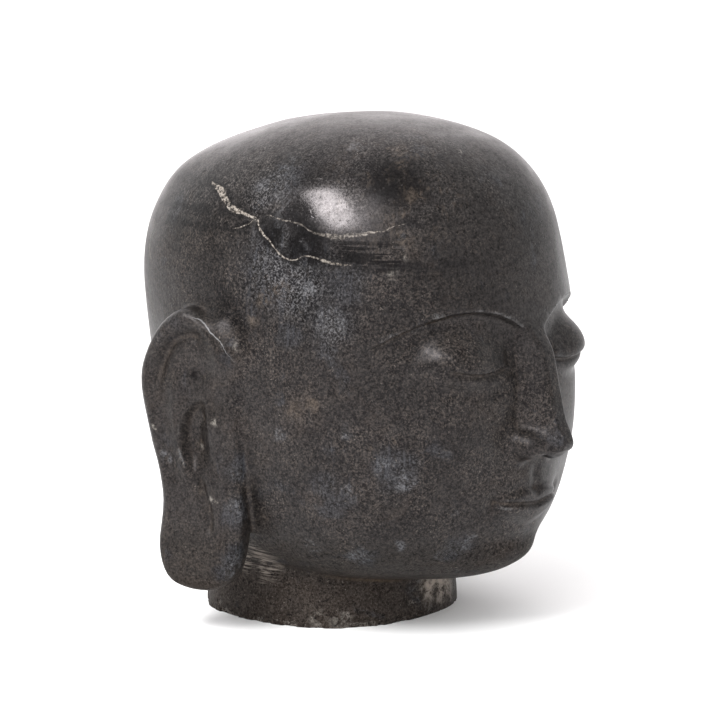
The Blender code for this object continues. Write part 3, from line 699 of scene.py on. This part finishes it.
def merged_copy(node):
    """The solid's own skin as one closed mesh, with the neck made longer so that it can be sawn off again."""
    work = bmesh.new()
    work.from_mesh(node.data)
    bmesh.ops.remove_doubles(work, verts=work.verts, dist=1e-5)
    foot = [vert for vert in work.verts if vert.co.z < 1e-4]
    bmesh.ops.translate(work, verts=foot, vec=(0, 0, -FOOT_SPARE))
    return as_object(work, "stone_head")


def saw_off_flat(piece):
    """Cuts the neck off level with the floor and closes it with flat faces."""
    work = bmesh.new()
    work.from_mesh(piece.data)
    geometry = list(work.verts) + list(work.edges) + list(work.faces)
    cut_line = bmesh.ops.bisect_plane(
        work, geom=geometry, plane_co=(0, 0, 0), plane_no=(0, 0, -1), clear_outer=True, dist=1e-6
    )
    edges = [item for item in cut_line["geom_cut"] if isinstance(item, bmesh.types.BMEdge)]
    filled = bmesh.ops.edgeloop_fill(work, edges=edges)
    bmesh.ops.triangulate(work, faces=filled["faces"])
    bmesh.ops.recalc_face_normals(work, faces=work.faces)
    work.to_mesh(piece.data)
    work.free()


def stone_head():
    piece = merged_copy(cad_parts["monk_head"])
    with_modifier(piece, "REMESH", mode="VOXEL", voxel_size=ROUGH_VOXEL)
    settle_mesh(piece.data, 3, spreading=0.3, straight=True)
    with_modifier(piece, "REMESH", mode="VOXEL", voxel_size=CARVING_VOXEL)
    settle_mesh(piece.data, 1, straight=True)
    settle_mesh(piece.data, 5, spreading=0.5)
    settle_mesh(piece.data, 1)
    mark_edges_and_hollows(piece.data)
    weather(piece.data)
    with_modifier(piece, "TRIANGULATE")
    with_modifier(piece, "DECIMATE", ratio=min(1, STONE_TRIANGLES / len(piece.data.polygons)))
    saw_off_flat(piece)
    piece.data.shade_smooth()
    return piece


class Nodes:
    """The nodes of a finish or of the room, added one by one: each call gives back the new node's output."""

    def __init__(self, tree):
        self.tree = tree

    def node(self, kind, inputs=(), **settings):
        made = self.tree.nodes.new(kind)
        for name, value in settings.items():
            setattr(made, name, value)
        for name, value in dict(inputs).items():
            self.give(made.inputs[name], value)
        return made

    def give(self, socket, value):
        if isinstance(value, bpy.types.NodeSocket):
            self.tree.links.new(value, socket)
        else:
            socket.default_value = value

    def math(self, operation, *values):
        return self.node("ShaderNodeMath", dict(enumerate(values)), operation=operation).outputs[0]

    def joined(self, operation, first, *others):
        for other in others:
            first = self.math(operation, first, other)
        return first

    plus = partialmethod(joined, "ADD")
    times = partialmethod(joined, "MULTIPLY")
    most = partialmethod(joined, "MAXIMUM")

    def vector(self, operation, *values, output=0):
        made = self.node("ShaderNodeVectorMath", dict(enumerate(values)), operation=operation)
        return made.outputs[output]

    def parts(self, place):
        """A place's three measures: to the side, to the back and up."""
        return self.node("ShaderNodeSeparateXYZ", {0: place}).outputs

    def ease(self, value, low, high, to_low=0.0, to_high=1.0):
        """The value taken softly from one range to another, and held at its ends."""
        made = self.node(
            "ShaderNodeMapRange", {0: value, 1: low, 2: high, 3: to_low, 4: to_high}, interpolation_type="SMOOTHSTEP"
        )
        return made.outputs[0]

    def below(self, value, low, high):
        """1 up to the low value, softly down to 0 at the high one."""
        return self.ease(value, low, high, 1.0, 0.0)

    def dim(self, share, least):
        """1 where the share is 0, softly down to the least value where it is 1."""
        return self.ease(share, 0.0, 1.0, 1.0, least)

    def mix(self, share, a, b):
        """From colour a to colour b, each another node's output or its red, green and blue."""
        made = self.node("ShaderNodeMix", data_type="RGBA")
        self.give(made.inputs[0], share)
        for index, colour in ((6, a), (7, b)):
            self.give(made.inputs[index], (*colour, 1) if isinstance(colour, tuple) else colour)
        return made.outputs[2]


# The stone's patterns: a shift in the noise, the size of its lumps, and its detail, roughness and distortion.
PATTERNS = {
    "clouds": ((0, 0, 0), 0.05, 5, 0.6, 0.5),
    "patches": ((0.31, 0.17, 0.05), 0.018, 5, 0.68, 0.3),
    "crusts": ((0.62, 0.33, 0.71), 0.008, 6, 0.76, 0.5),
    "mottles": ((0.21, 0.84, 0.47), 0.0036, 4, 0.74),
    "grain": ((0, 0, 0), 0.0015, 3, 0.78),
    "breaks": ((0.5, 0.2, 0.4), 0.0022, 2, 0.7),
    "brown": ((0.07, 0.41, 0.2), 0.034, 5, 0.65, 0.4),
    "blue": ((0.53, 0.11, 0.37), 0.03, 4, 0.6, 0.4),
    "speckling": ((0.2, 0.6, 0.1), 0.028, 3, 0.6),
    "dots": ((0.15, 0.25, 0.95), 0.0018, 2, 0.6),
    "vein places": ((0.44, 0.66, 0.31), 0.055),
    "pits": ((0.77, 0.52, 0.09), 0.0024, 1, 0.6),
}

# Patterns longer one way: their turn in degrees, the size of their lumps each way, and their detail and roughness.
STREAKY_PATTERNS = {
    "drips": (0, (0.004, 0.004, 0.034), 3, 0.6),
    "wisps": (0, (0.003, 0.003, 0.015), 3, 0.7),
    "brushings": (8, (0.016, 0.016, 0.0012), 3, 0.6),
    "level streaks": (55, (0.03, 0.03, 0.0022), 1, 0.6),
    "scratches": (38, (0.03, 0.0011, 0.0011), 1, 0.6),
    "crossing scratches": (-24, (0.024, 0.0013, 0.0013), 1, 0.6),
}

# The room left above and below a vein's line, in millimetres, and then in metres: the softness of a vein's edge, the
# thickness of the ear's rubbed edge with its painted highlight, and the depth of the pits.
VEIN_MARGIN = 2
SOFT_EDGE = 0.0006
RUBBED_AND_HIGHLIT_THICKNESS = 0.0008
PIT_DEPTH = 0.0001


class Finish(Nodes):
    """A material, and the patterns that its nodes make from places on the piece."""

    def __init__(self, name):
        self.material = bpy.data.materials.new(name)
        self.material.use_nodes = True
        super().__init__(self.material.node_tree)
        self.shader = self.tree.nodes["Principled BSDF"]
        self.where = self.node("ShaderNodeTexCoord").outputs["Object"]
        self.colour = None

    def show(self, name, value):
        self.give(self.shader.inputs[name], value)

    def coat(self, colour, *shares):
        """Lays a colour over what is there, as thick as the shares multiplied."""
        self.colour = self.mix(self.times(*shares), self.colour, colour)

    def stirred(self, where, size, reach):
        """Places pushed about at random by up to that reach, for wavering lines."""
        push = self.node("ShaderNodeTexNoise", {"Vector": where, "Scale": 1 / size, "Detail": 2.0}).outputs["Color"]
        push = self.vector("SUBTRACT", push, (0.5, 0.5, 0.5))
        return self.vector("ADD", where, self.vector("MULTIPLY", push, (2 * reach, 2 * reach, 2 * reach)))

    def noise(self, where, size, detail=2.0, roughness=0.5, distortion=0.0):
        """Noise whose lumps are about that size, from 0 to 1."""
        settings = {"Vector": where, "Scale": 1 / size, "Detail": detail, "Roughness": roughness}
        return self.node("ShaderNodeTexNoise", {**settings, "Distortion": distortion}).outputs[0]

    def pattern(self, name):
        """Noise as its row in PATTERNS says."""
        shift, *settings = PATTERNS[name]
        return self.noise(self.vector("ADD", self.where, shift), *settings)

    def streaky(self, name):
        """Noise whose lumps are longer one way, as its row in STREAKY_PATTERNS says."""
        turn, sizes, *settings = STREAKY_PATTERNS[name]
        turned = {"Rotation": (0, 0, math.radians(turn)), "Scale": tuple(1 / size for size in sizes)}
        where = self.node("ShaderNodeMapping", {"Vector": self.where, **turned}, vector_type="POINT").outputs[0]
        return self.noise(where, 1.0, *settings)

    def threads(self, where, size, thickness, detail=0.0):
        """Thin wandering lines: 1 on each line and 0 beside it."""
        away = self.math("ABSOLUTE", self.math("SUBTRACT", self.noise(where, size, detail), 0.5))
        return self.below(away, 0.0, thickness)

    def spot(self, where, place, reach, soft=0.6):
        """1 at a place, fading to 0 at that reach."""
        away = self.vector("DISTANCE", where, place, output=1)
        return self.below(away, reach * (1 - soft), reach)

    def spots(self, where, marks):
        """The strongest of several spots, each a row of a place, a reach, both in millimetres, and a strength."""
        shares = []
        for *place, reach, strength in marks:
            spot = self.spot(where, [measure / 1000 for measure in place], reach / 1000, soft=0.8)
            shares.append(self.times(spot, strength))
        return self.most(*shares)

    def kept(self, name):
        return self.node("ShaderNodeAttribute", attribute_name=name).outputs["Fac"]

    def curve(self, value, points):
        """A smooth curve through points whose places and heights run from 0 to 1."""
        made = self.node("ShaderNodeFloatCurve", {1: value})
        line = made.mapping.curves[0]
        line.points[0].location, line.points[-1].location = points[0], points[-1]
        for point in points[1:-1]:
            line.points.new(*point)
        made.mapping.update()
        return made.outputs[0]

    def straight(self, value, low, high, to_low, to_high):
        return self.node("ShaderNodeMapRange", {0: value, 1: low, 2: high, 3: to_low, 4: to_high}).outputs[0]

    def vein(self, where, line, thickness):
        """How deep a place is inside a vein; its line has rows as in LONG_VEIN, with shares of the thickness."""
        backs, heights, widths = zip(*line)
        low, high = min(heights) - VEIN_MARGIN, max(heights) + VEIN_MARGIN
        _, back, height = self.parts(where)
        along = self.straight(back, backs[0] / 1000, backs[-1] / 1000, 0.0, 1.0)
        shares = [(place - backs[0]) / (backs[-1] - backs[0]) for place in backs]
        middle = self.curve(along, [(share, (level - low) / (high - low)) for share, level in zip(shares, heights)])
        middle = self.straight(middle, 0.0, 1.0, low / 1000, high / 1000)
        width = self.times(self.curve(along, list(zip(shares, widths))), thickness)
        return self.math("SUBTRACT", width, self.math("ABSOLUTE", self.math("SUBTRACT", height, middle)))


# The two cream veins over the right temple and their branch. Each row says how far back and how high, in
# millimetres, and how thick as a share of the vein's thickness.
LONG_VEIN = (
    (20, 290, 0), (16.5, 288.8, 0.5), (9, 286.4, 0.95), (-1.1, 280.4, 1.3), (-8.7, 275.4, 1.05), (-19, 273, 0.65),
    (-30.3, 270.7, 0.5), (-37, 262.6, 0.6), (-40.7, 259.1, 0.5), (-48.2, 252.8, 0.35), (-56.5, 247.7, 0.3),
    (-62.5, 247.4, 0.25), (-68.3, 249.5, 0.28), (-83, 246.4, 0.45), (-93, 245, 0.3), (-98, 244.4, 0),
)
SIDE_VEIN = ((-11, 263.2, 0), (-15, 263.7, 0.45), (-19.8, 264.5, 0.6), (-25.7, 267.4, 0.6), (-30.3, 270.7, 0))
UPPER_VEIN = (
    (-37, 272.7, 0), (-42, 272.2, 0.25), (-49.9, 270.6, 0.32), (-55.8, 269.7, 0.38), (-62.2, 268.8, 0.4),
    (-70.1, 265.5, 0.35), (-76.2, 263.3, 0.5), (-88.5, 261.9, 1), (-95.7, 262.7, 0.75), (-102.5, 264.1, 0.65),
    (-110.9, 265.9, 0.3), (-115.7, 268.3, 0.28), (-121.5, 270.6, 0),
)
VEINS = ((LONG_VEIN, 0.0021), (SIDE_VEIN, 0.001), (UPPER_VEIN, 0.0019))

# The rubbed edge of the right ear, at its top front, drawn as a vein is: a pale line that is partly wear and partly a
# painted highlight.
RUBBED_AND_HIGHLIT_EAR_EDGE = (
    (6.5, 207.2, 0), (1, 205.5, 0.7), (-6.5, 200.8, 1), (-16.5, 191.5, 0.7), (-22.5, 183.5, 0.45), (-29, 174, 0),
)

# Where the stone's surface differs from the rest. Each row is a place and a reach, in millimetres, and a strength.
BLUE_CLOUDS = (
    (-117, -56, 243, 56, 0.9), (-101, -44, 293, 24, 1), (-106, -95, 233, 24, 0.8), (-112, -83, 106, 18, 0.8),
    (-93, -124, 118, 24, 1), (-88, -94, 57, 17, 0.8), (-47, -137, 60, 18, 0.9), (-126, -24, 111, 14, 1),
    (-126, -24, 82, 16, 1), (-126, -22, 55, 14, 1), (-130, -15, 44, 12, 1), (-135, 18, 205, 16, 0.6),
    (-113, -90, 208, 22, 0.9), (-121, -63, 199, 16, 0.8),
)
BROWN_CLOUDS = (
    (-81, -111, 281, 32, 0.8), (-80, -124, 260, 18, 1), (-120, -70, 150, 22, 1), (-53, -97, 313, 13, 1),
    (-67, -72, 316, 9, 1), (-118, -50, 222, 20, 0.8), (-124, -35, 207, 10, 1), (-65, -112, 296, 20, 0.9),
)
# The first dark patch, high on the crown's right front, is painted shade; the second darkens the stone beside the
# polished spot, and the others are darker stone.
DARK_PATCHES_AND_SHADE = (
    (-72, -108, 295, 32, 0.9), (-109, -60, 276, 16, 0.45), (-112, -69, 256, 22, 1), (-115, -45, 263, 13, 1),
    (-117, -4, 284, 12, 0.9), (-137, 16, 140, 4, 0.9), (-133, 5, 172, 7, 0.8),
)
BRIGHT_SPECKLES = (
    (-118, -56, 247, 34, 1), (-117, -70, 225, 26, 0.9), (-104, -30, 288, 26, 0.8), (-113, -88, 208, 24, 0.6),
)
TAN_CRUSTS = (
    (-120.4, -66.3, 151.9, 9, 0.9), (-118.3, -77.5, 157.2, 7.5, 1), (-122.2, -42.2, 220.6, 8.5, 0.8),
    (-119.5, -53.5, 229, 9, 0.8), (-124, -34.6, 207.5, 6.5, 0.9), (-81.5, -122.2, 261.8, 9.5, 1),
    (-54.2, -96.3, 312.8, 6, 0.9), (-61.5, -105.1, 304.4, 7, 0.9), (-69.2, -118.7, 287.1, 7, 0.7),
    (-102.7, -111.8, 133.6, 3.5, 1), (-94, -125.5, 137.6, 3, 0.8), (-111.5, -35.6, 79.4, 4, 0.9),
    (-130, 6, 124, 6, 0.6), (-131, 5, 95, 6, 0.6), (10, -77.6, 17.2, 30, 1), (28, -75.6, 19, 30, 1),
)
POWDER = (
    (-96.4, -118.8, 117.6, 11, 0.9), (-88, -128, 109.8, 11, 1), (-105.7, -98.4, 103.9, 7.5, 0.8),
    (-88.4, -92.8, 56.5, 10.5, 1), (-101.5, -62.7, 61.8, 9, 0.9), (-109.7, -99.1, 139.4, 7, 0.6),
    (-120.6, -54.2, 135.9, 8, 0.8), (-79, -119, 66.9, 6, 0.8), (-52.6, -130.8, 57.4, 8, 0.9), (-42, -142.5, 65, 9, 1),
    (-93.4, -40.8, 301.9, 8, 0.8), (-104, -26.7, 290.5, 8, 0.6), (-107.2, -48.8, 282.7, 7.5, 0.6),
    (-112.5, -47, 271.4, 8.5, 1), (-67.1, -73, 315, 8, 0.8), (-115.1, -71.9, 229.3, 7.5, 1), (-126, -20, 48, 11, 0.9),
    (-124.5, -24.5, 85, 12, 0.7), (-140, 24.4, 114.9, 7, 0.9), (-113, -88, 210, 14, 0.6), (5, -77.6, 20, 26, 1),
    (25.8, -75.6, 17, 28, 1),
)
PALE_MARKS = (
    (-18.7, -117.8, 310.9, 3.5, 0.7), (-114.9, -29.9, 269.5, 5.5, 1), (-105, -88.5, 260, 3.5, 1),
    (-90.1, -119.2, 241.1, 5, 0.5), (-82.2, -123, 249.5, 4, 0.5), (-133.3, -11.3, 141.9, 4.5, 0.8),
    (-128.8, 4.5, 122, 2.6, 0.5), (-130.4, -6.7, 88.5, 5, 1), (-142.7, 31.2, 134.7, 1.8, 1),
    (-125, -23.8, 190.1, 4.5, 0.7), (-62.7, -56.3, 5, 11, 0.4), (-71.5, -44.1, 7.5, 8, 0.4),
)
PALE_BRUSHINGS = ((-95, -4.6, 56, 19, 1), (-88, -13, 48.5, 18, 1), (-78.8, -8, 40.5, 17, 1), (-78.8, 10.6, 40, 12, 1))
SAWN_MARKS = ((6, -77.6, 19, 17, 1), (23, -75.6, 18, 20, 1))
STREAKED_PLACES = ((-101, -98, 252.5, 20, 0.9), (-90, -114, 250, 18, 0.9))
MATT_SPOTS = ((-126, -14, 197, 30, 1), (-133, 8, 115, 30, 0.8))

# Single larger spots: the place and the reach.
FOREHEAD = (0.000, -0.15, 0.262), 0.105
WISPY_CROWN = (-0.075, -0.105, 0.288), 0.06
POLISHED_CROWN = (-0.101, -0.078, 0.286), 0.05

# The colours of the stone's ground, clouds, grain, marks and wear.
BLACK_GROUND = (0.003, 0.0028, 0.0029)
GREY_GROUND = (0.0085, 0.0077, 0.0076)
BLACK = (0.002, 0.0019, 0.002)
STREAK_BLACK = (0.0012, 0.0012, 0.0013)
POLISHED_BLACK = (0.0045, 0.0042, 0.0042)
EAR_GREY = (0.0155, 0.0138, 0.013)
JAW_GREY = (0.028, 0.025, 0.0232)
FOREHEAD_GREY = (0.0125, 0.0112, 0.0108)
MOTTLE_GREY = (0.023, 0.02, 0.0178)
CLOUD_BLUE = (0.014, 0.0143, 0.0168)
DRIP_BLUE = (0.032, 0.0332, 0.038)
CLOUD_BROWN = (0.019, 0.0142, 0.0112)
NECK_BROWN = (0.031, 0.024, 0.0195)
DUST_BROWN = (0.046, 0.035, 0.027)
CREASE_BROWN = (0.17, 0.115, 0.07)
WISP_TAN = (0.07, 0.055, 0.044)
CRUST_TAN = (0.064, 0.05, 0.039)
FLECK_BROWN = (0.06, 0.049, 0.042)
FLECK_BLUE = (0.054, 0.0535, 0.057)
FLECK_WHITE = (0.16, 0.156, 0.158)
DOT_CREAM = (0.13, 0.113, 0.1)
POWDER_BLUE = (0.1, 0.101, 0.108)
MARK_CREAM = (0.25, 0.23, 0.205)
SAWN_CREAM = (0.31, 0.265, 0.225)
BRUSHED_CREAM = (0.26, 0.225, 0.195)
VEIN_BROWN = (0.07, 0.058, 0.048)
VEIN_CREAM = (0.3, 0.268, 0.234)
# Pale grey for worn edges, also used for the painted highlight on the right ear's top front edge.
WORN_AND_HIGHLIT_GREY = (0.22, 0.218, 0.22)
CHIP_GREY = (0.17, 0.153, 0.138)
GLOSS_TINT = (1.0, 0.93, 0.94, 1)

# Marks that break up into islands: the edge of the islands, how the grain shows in them, and their colour.
CRUSTED_MARKS = (
    (TAN_CRUSTS, (0.47, 0.55), (0.36, 0.58, 0.2, 0.9), CRUST_TAN),
    (POWDER, (0.44, 0.58), (0.38, 0.62, 0.1, 0.95), POWDER_BLUE),
    (PALE_MARKS, (0.47, 0.55), (0.36, 0.56, 0.3, 0.95), MARK_CREAM),
)


def marble():
    """Near-black marble: clouded, finely flecked and veined, with dust in the grooves and pale worn edges, painted
    shade high on the crown's right front and a painted highlight along the right ear's top front edge.
    """
    finish = Finish("dark_marble")
    below, coat, dim, ease, mix = finish.below, finish.coat, finish.dim, finish.ease, finish.mix
    most, plus, times, vein = finish.most, finish.plus, finish.times, finish.vein
    pattern, streaky, spot, spots = finish.pattern, finish.streaky, finish.spot, finish.spots
    where = finish.where
    side, back, height = finish.parts(where)
    ragged = finish.stirred(where, 0.01, 0.006)
    clouds, patches, crusts, mottles, grain = map(pattern, ("clouds", "patches", "crusts", "mottles", "grain"))
    broken = ease(pattern("breaks"), 0.4, 0.56)
    neck_share, under_jaw = below(height, 0.026, 0.044), below(height, 0.052, 0.078)
    crown, ear = ease(height, 0.255, 0.285), below(side, -0.132, -0.125)
    forehead = spot(ragged, *FOREHEAD, soft=0.5)

    # The ground, with its brown and blue clouds.
    finish.colour = mix(ease(clouds, 0.36, 0.64), BLACK_GROUND, GREY_GROUND)
    coat(EAR_GREY, ear, 0.7)
    coat(JAW_GREY, under_jaw, 0.7)
    coat(FOREHEAD_GREY, forehead, 0.8)
    coat(NECK_BROWN, neck_share, 0.6)
    brown = most(neck_share, times(ease(pattern("brown"), 0.5, 0.7), 0.8), spots(ragged, BROWN_CLOUDS))
    coat(CLOUD_BROWN, brown, ease(patches, 0.38, 0.6), 0.8)
    blue = most(times(ease(pattern("blue"), 0.54, 0.7), 0.8), spots(ragged, BLUE_CLOUDS))
    coat(CLOUD_BLUE, blue, ease(patches, 0.42, 0.6), 0.75)
    # Dark patches, with painted shade high on the crown's right front.
    dark = times(spots(ragged, DARK_PATCHES_AND_SHADE), ease(crusts, 0.36, 0.5, 0.35, 1.0))

    # The mottling, drips, wisps and fine pale grain.
    speckled = most(ease(pattern("speckling"), 0.42, 0.6, 0.5, 1.0), blue, brown)
    speckled = times(speckled, dim(dark, 0.15), dim(ear, 0.75), dim(forehead, 0.5))
    coat(MOTTLE_GREY, ease(mottles, 0.5, 0.7), speckled, 0.7)
    coat(BLACK, ease(mottles, 0.32, 0.52, 0.9, 0.0), dim(ear, 0.5))
    coat(DRIP_BLUE, ease(streaky("drips"), 0.54, 0.68), blue, 0.8)
    wispy = times(ease(streaky("wisps"), 0.51, 0.61), spot(ragged, *WISPY_CROWN, soft=0.8))
    coat(WISP_TAN, wispy, ease(patches, 0.42, 0.56), 0.8)
    bright = most(spots(ragged, BRIGHT_SPECKLES), times(crown, 0.3))
    fleck_colour = mix(times(bright, 0.8), mix(ease(blue, 0.2, 0.8), FLECK_BROWN, FLECK_BLUE), FLECK_WHITE)
    light_grain = times(ease(grain, 0.5, 0.66), speckled)
    coat(fleck_colour, light_grain, 0.9)
    coat(BLACK, ease(grain, 0.3, 0.47, 0.85, 0.0))
    wormy = times(finish.threads(where, 0.0027, 0.07), broken, speckled)
    coat(fleck_colour, wormy, 0.5)
    coat(DOT_CREAM, ease(pattern("dots"), 0.67, 0.74), speckled, 0.8)
    # Black over the dark patches, which paints the shade high on the crown's right front.
    coat(BLACK, dark, 0.85)

    # The crusts, powder, scuffs and brushed streaks.
    dull = [times(brown, 0.5), wormy, times(light_grain, 0.8)]
    for marks, island_edge, grain_shares, colour in CRUSTED_MARKS:
        crusted = times(spots(ragged, marks), ease(crusts, *island_edge))
        coat(colour, crusted, ease(grain, *grain_shares))
        dull.append(crusted)
    coat(SAWN_CREAM, spots(ragged, SAWN_MARKS), ease(crusts, 0.38, 0.6), 0.9)
    brushed = times(spots(ragged, PALE_BRUSHINGS), ease(streaky("brushings"), 0.44, 0.6))
    coat(BRUSHED_CREAM, brushed, 0.75)

    # The veins with their dark borders, and fainter ones on the hidden sides.
    shaken = finish.stirred(finish.stirred(where, 0.011, 0.0016), 0.0028, 0.0007)
    depth = most(*(vein(shaken, line, thickness) for line, thickness in VEINS))
    right_side = below(side, -0.06, -0.04)
    coat(BLACK, ease(depth, -0.005, -0.0008), right_side, ease(crusts, 0.38, 0.54), 0.8)
    drawn = times(ease(depth, 0.0, SOFT_EDGE), right_side, ease(mottles, 0.34, 0.5, 0.35, 1.0))
    hidden = times(most(ease(side, -0.01, 0.04), ease(back, 0.06, 0.1)), ease(back, -0.13, -0.08))
    faint = times(finish.threads(shaken, 0.105, 0.006, 2.5), ease(pattern("vein places"), 0.5, 0.6), hidden)
    veined = times(most(drawn, times(faint, 0.7)), ease(broken, 0.0, 0.7, 0.1, 0.95))
    coat(mix(ease(grain, 0.35, 0.62), VEIN_BROWN, VEIN_CREAM), veined)

    # The black level streaks between the veins, and the polished spot above them.
    streaks = times(spots(where, STREAKED_PLACES), ease(streaky("level streaks"), 0.47, 0.51))
    coat(STREAK_BLACK, streaks)
    polished = spot(ragged, *POLISHED_CROWN)
    coat(POLISHED_BLACK, polished, 0.5)

    # Dust in the hollows, brown in the jaw's crease, and pale worn edges and chips, with a painted highlight along
    # the right ear's rubbed edge.
    edge, hollow, chip = finish.kept("edge"), finish.kept("hollow"), finish.kept("chip")
    dusty = times(ease(hollow, 0.15, 0.85), ease(patches, 0.3, 0.6, 0.25, 0.8))
    coat(DUST_BROWN, dusty, ease(grain, 0.35, 0.6, 0.2, 0.7))
    creased = times(ease(hollow, 0.3, 0.8), below(height, 0.04, 0.046), ease(broken, 0.0, 1.0, 0.5, 1.0))
    coat(CREASE_BROWN, creased, 0.8)
    worn = times(ease(edge, 0.3, 1.0), ease(patches, 0.46, 0.66, 0.0, 0.45), broken)
    # The right ear's rubbed top front edge: pale from wear, and painted as a highlight where the edge catches the
    # lamp.
    rubbed_and_highlit = ease(vein(shaken, RUBBED_AND_HIGHLIT_EAR_EDGE, RUBBED_AND_HIGHLIT_THICKNESS), 0.0, SOFT_EDGE)
    rubbed_and_highlit = times(rubbed_and_highlit, below(side, -0.122, -0.119), 0.65)
    coat(WORN_AND_HIGHLIT_GREY, most(worn, rubbed_and_highlit))
    chipped = times(ease(chip, 0.3, 0.75), ease(grain, 0.42, 0.58), ease(patches, 0.4, 0.55))
    coat(CHIP_GREY, chipped, 0.7)
    finish.show("Base Color", finish.colour)

    # The gloss, duller on crusts, under the jaw and in the dark patches, one of which is painted shade.
    dull = most(dusty, brushed, *dull)
    roughness = plus(ease(clouds, 0.35, 0.65, 0.3, 0.4), times(most(dull, under_jaw), 0.15), times(polished, -0.22))
    finish.show("Roughness", roughness)
    gloss = plus(ease(mottles, 0.32, 0.62, 0.16, 0.25), times(polished, 0.11))
    gloss = times(gloss, ease(grain, 0.36, 0.6, 0.75, 1.15), dim(under_jaw, 0.28))
    gloss = times(gloss, dim(most(dark, streaks, spots(where, MATT_SPOTS)), 0.55))
    gloss = times(gloss, dim(times(crown, below(crusts, 0.4, 0.52)), 0.72))
    finish.show("Specular IOR Level", gloss)
    finish.show("Specular Tint", GLOSS_TINT)

    # The fine grain, scratches and pits that are too small to carve.
    scratches = plus(streaky("scratches"), streaky("crossing scratches"))
    surface = plus(times(grain, 0.5), times(scratches, 0.22), ease(pattern("pits"), 0.24, 0.34))
    surface = times(surface, dim(polished, 0.4))
    relief = finish.node("ShaderNodeBump", {"Height": surface, "Strength": 1.0, "Distance": PIT_DEPTH})
    finish.show("Normal", relief.outputs[0])
    return finish.material


def aimed(thing, place, target):
    thing.location = place
    thing.rotation_mode = "QUATERNION"
    thing.rotation_quaternion = (Vector(place) - Vector(target)).to_track_quat("Z", "Y")
    bpy.context.scene.collection.objects.link(thing)


def add_camera():
    """A long lens from the head's right front, a little above it."""
    turn, rise, distance = math.radians(-52), math.radians(9), 2.0
    back = Vector((math.sin(turn) * math.cos(rise), -math.cos(turn) * math.cos(rise), math.sin(rise)))
    side = Vector((math.cos(turn), math.sin(turn), 0))
    aim = Vector((0, 0, 0.165)) + side * 0.0187 - back.cross(side) * 0.0017
    lens = bpy.data.cameras.new("camera")
    lens.sensor_width = 36
    lens.lens = 149.5
    lens.clip_end = 200
    camera = bpy.data.objects.new("camera", lens)
    aimed(camera, aim + back * distance, aim)
    bpy.context.scene.camera = camera


def add_key_light():
    """A large soft lamp, high on the head's right."""
    lamp = bpy.data.lights.new("key_light", "AREA")
    lamp.shape = "RECTANGLE"
    lamp.size, lamp.size_y = 1.1, 0.46
    lamp.energy = 39
    box = bpy.data.objects.new("key_light", lamp)
    aimed(box, (-1.45, -0.03, 1.62), (0, 0, 0.2))
    box.rotation_quaternion @= Quaternion((0, 0, 1), math.radians(-44))


# The room's dimmer sides: the turn from the front in degrees, where the dimming starts and ends, and what is left.
DIMMER_SIDES = ((-112, 0.4, 0.95, 0.5), (45, 0.0, 0.85, 0.68))
BACKDROP_TINT = (1.0, 0.95, 0.957)


def towards(room, way, turn):
    """How far a way points to that side of the room, in degrees from the front, seen from above."""
    turn = math.radians(turn)
    return room.vector("DOT_PRODUCT", way, (math.sin(turn), -math.cos(turn), 0.0), output=1)


def add_room_light():
    """A white room: a lit backdrop behind the head, dimmer walls, and the glow beside the main light."""
    world = bpy.data.worlds.new("room")
    bpy.context.scene.world = world
    world.use_nodes = True
    room = Nodes(world.node_tree)
    way = room.node("ShaderNodeTexCoord").outputs["Generated"]
    height = room.parts(way)[2]
    backdrop = room.times(
        room.ease(towards(room, way, 72), -0.28, 0.26), room.ease(towards(room, way, 178), -0.3, 0.45)
    )
    white = room.plus(room.times(backdrop, 1.25), 1.33)
    white = room.times(white, room.ease(height, 0.55, 0.95, 1.0, 0.76))
    for turn, start, end, least in DIMMER_SIDES:
        white = room.times(white, room.ease(towards(room, way, turn), start, end, 1.0, least))
    glow = room.vector("DOT_PRODUCT", way, (-0.754, -0.23, 0.616), output=1)
    white = room.plus(white, room.ease(glow, 0.9, 0.985, 0.0, 3.4))
    sky = room.tree.nodes["Background"]
    room.give(sky.inputs[0], room.mix(backdrop, (1.0, 1.0, 1.0), BACKDROP_TINT))
    room.give(sky.inputs[1], white)


def add_floor():
    work = bmesh.new()
    bmesh.ops.create_grid(work, x_segments=1, y_segments=1, size=40)
    floor = as_object(work, "floor")
    finish = Finish("white_paper")
    for name, value in {"Base Color": (0.95, 0.95, 0.95, 1), "Roughness": 0.9, "Specular IOR Level": 0.1}.items():
        finish.show(name, value)
    floor.data.materials.append(finish.material)


add_camera()
add_floor()
add_room_light()
add_key_light()
head = stone_head()
head.data.materials.clear()
head.data.materials.append(marble())
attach(head, "root")
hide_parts("monk_head")
bpy.context.scene.view_settings.view_transform = "Standard"
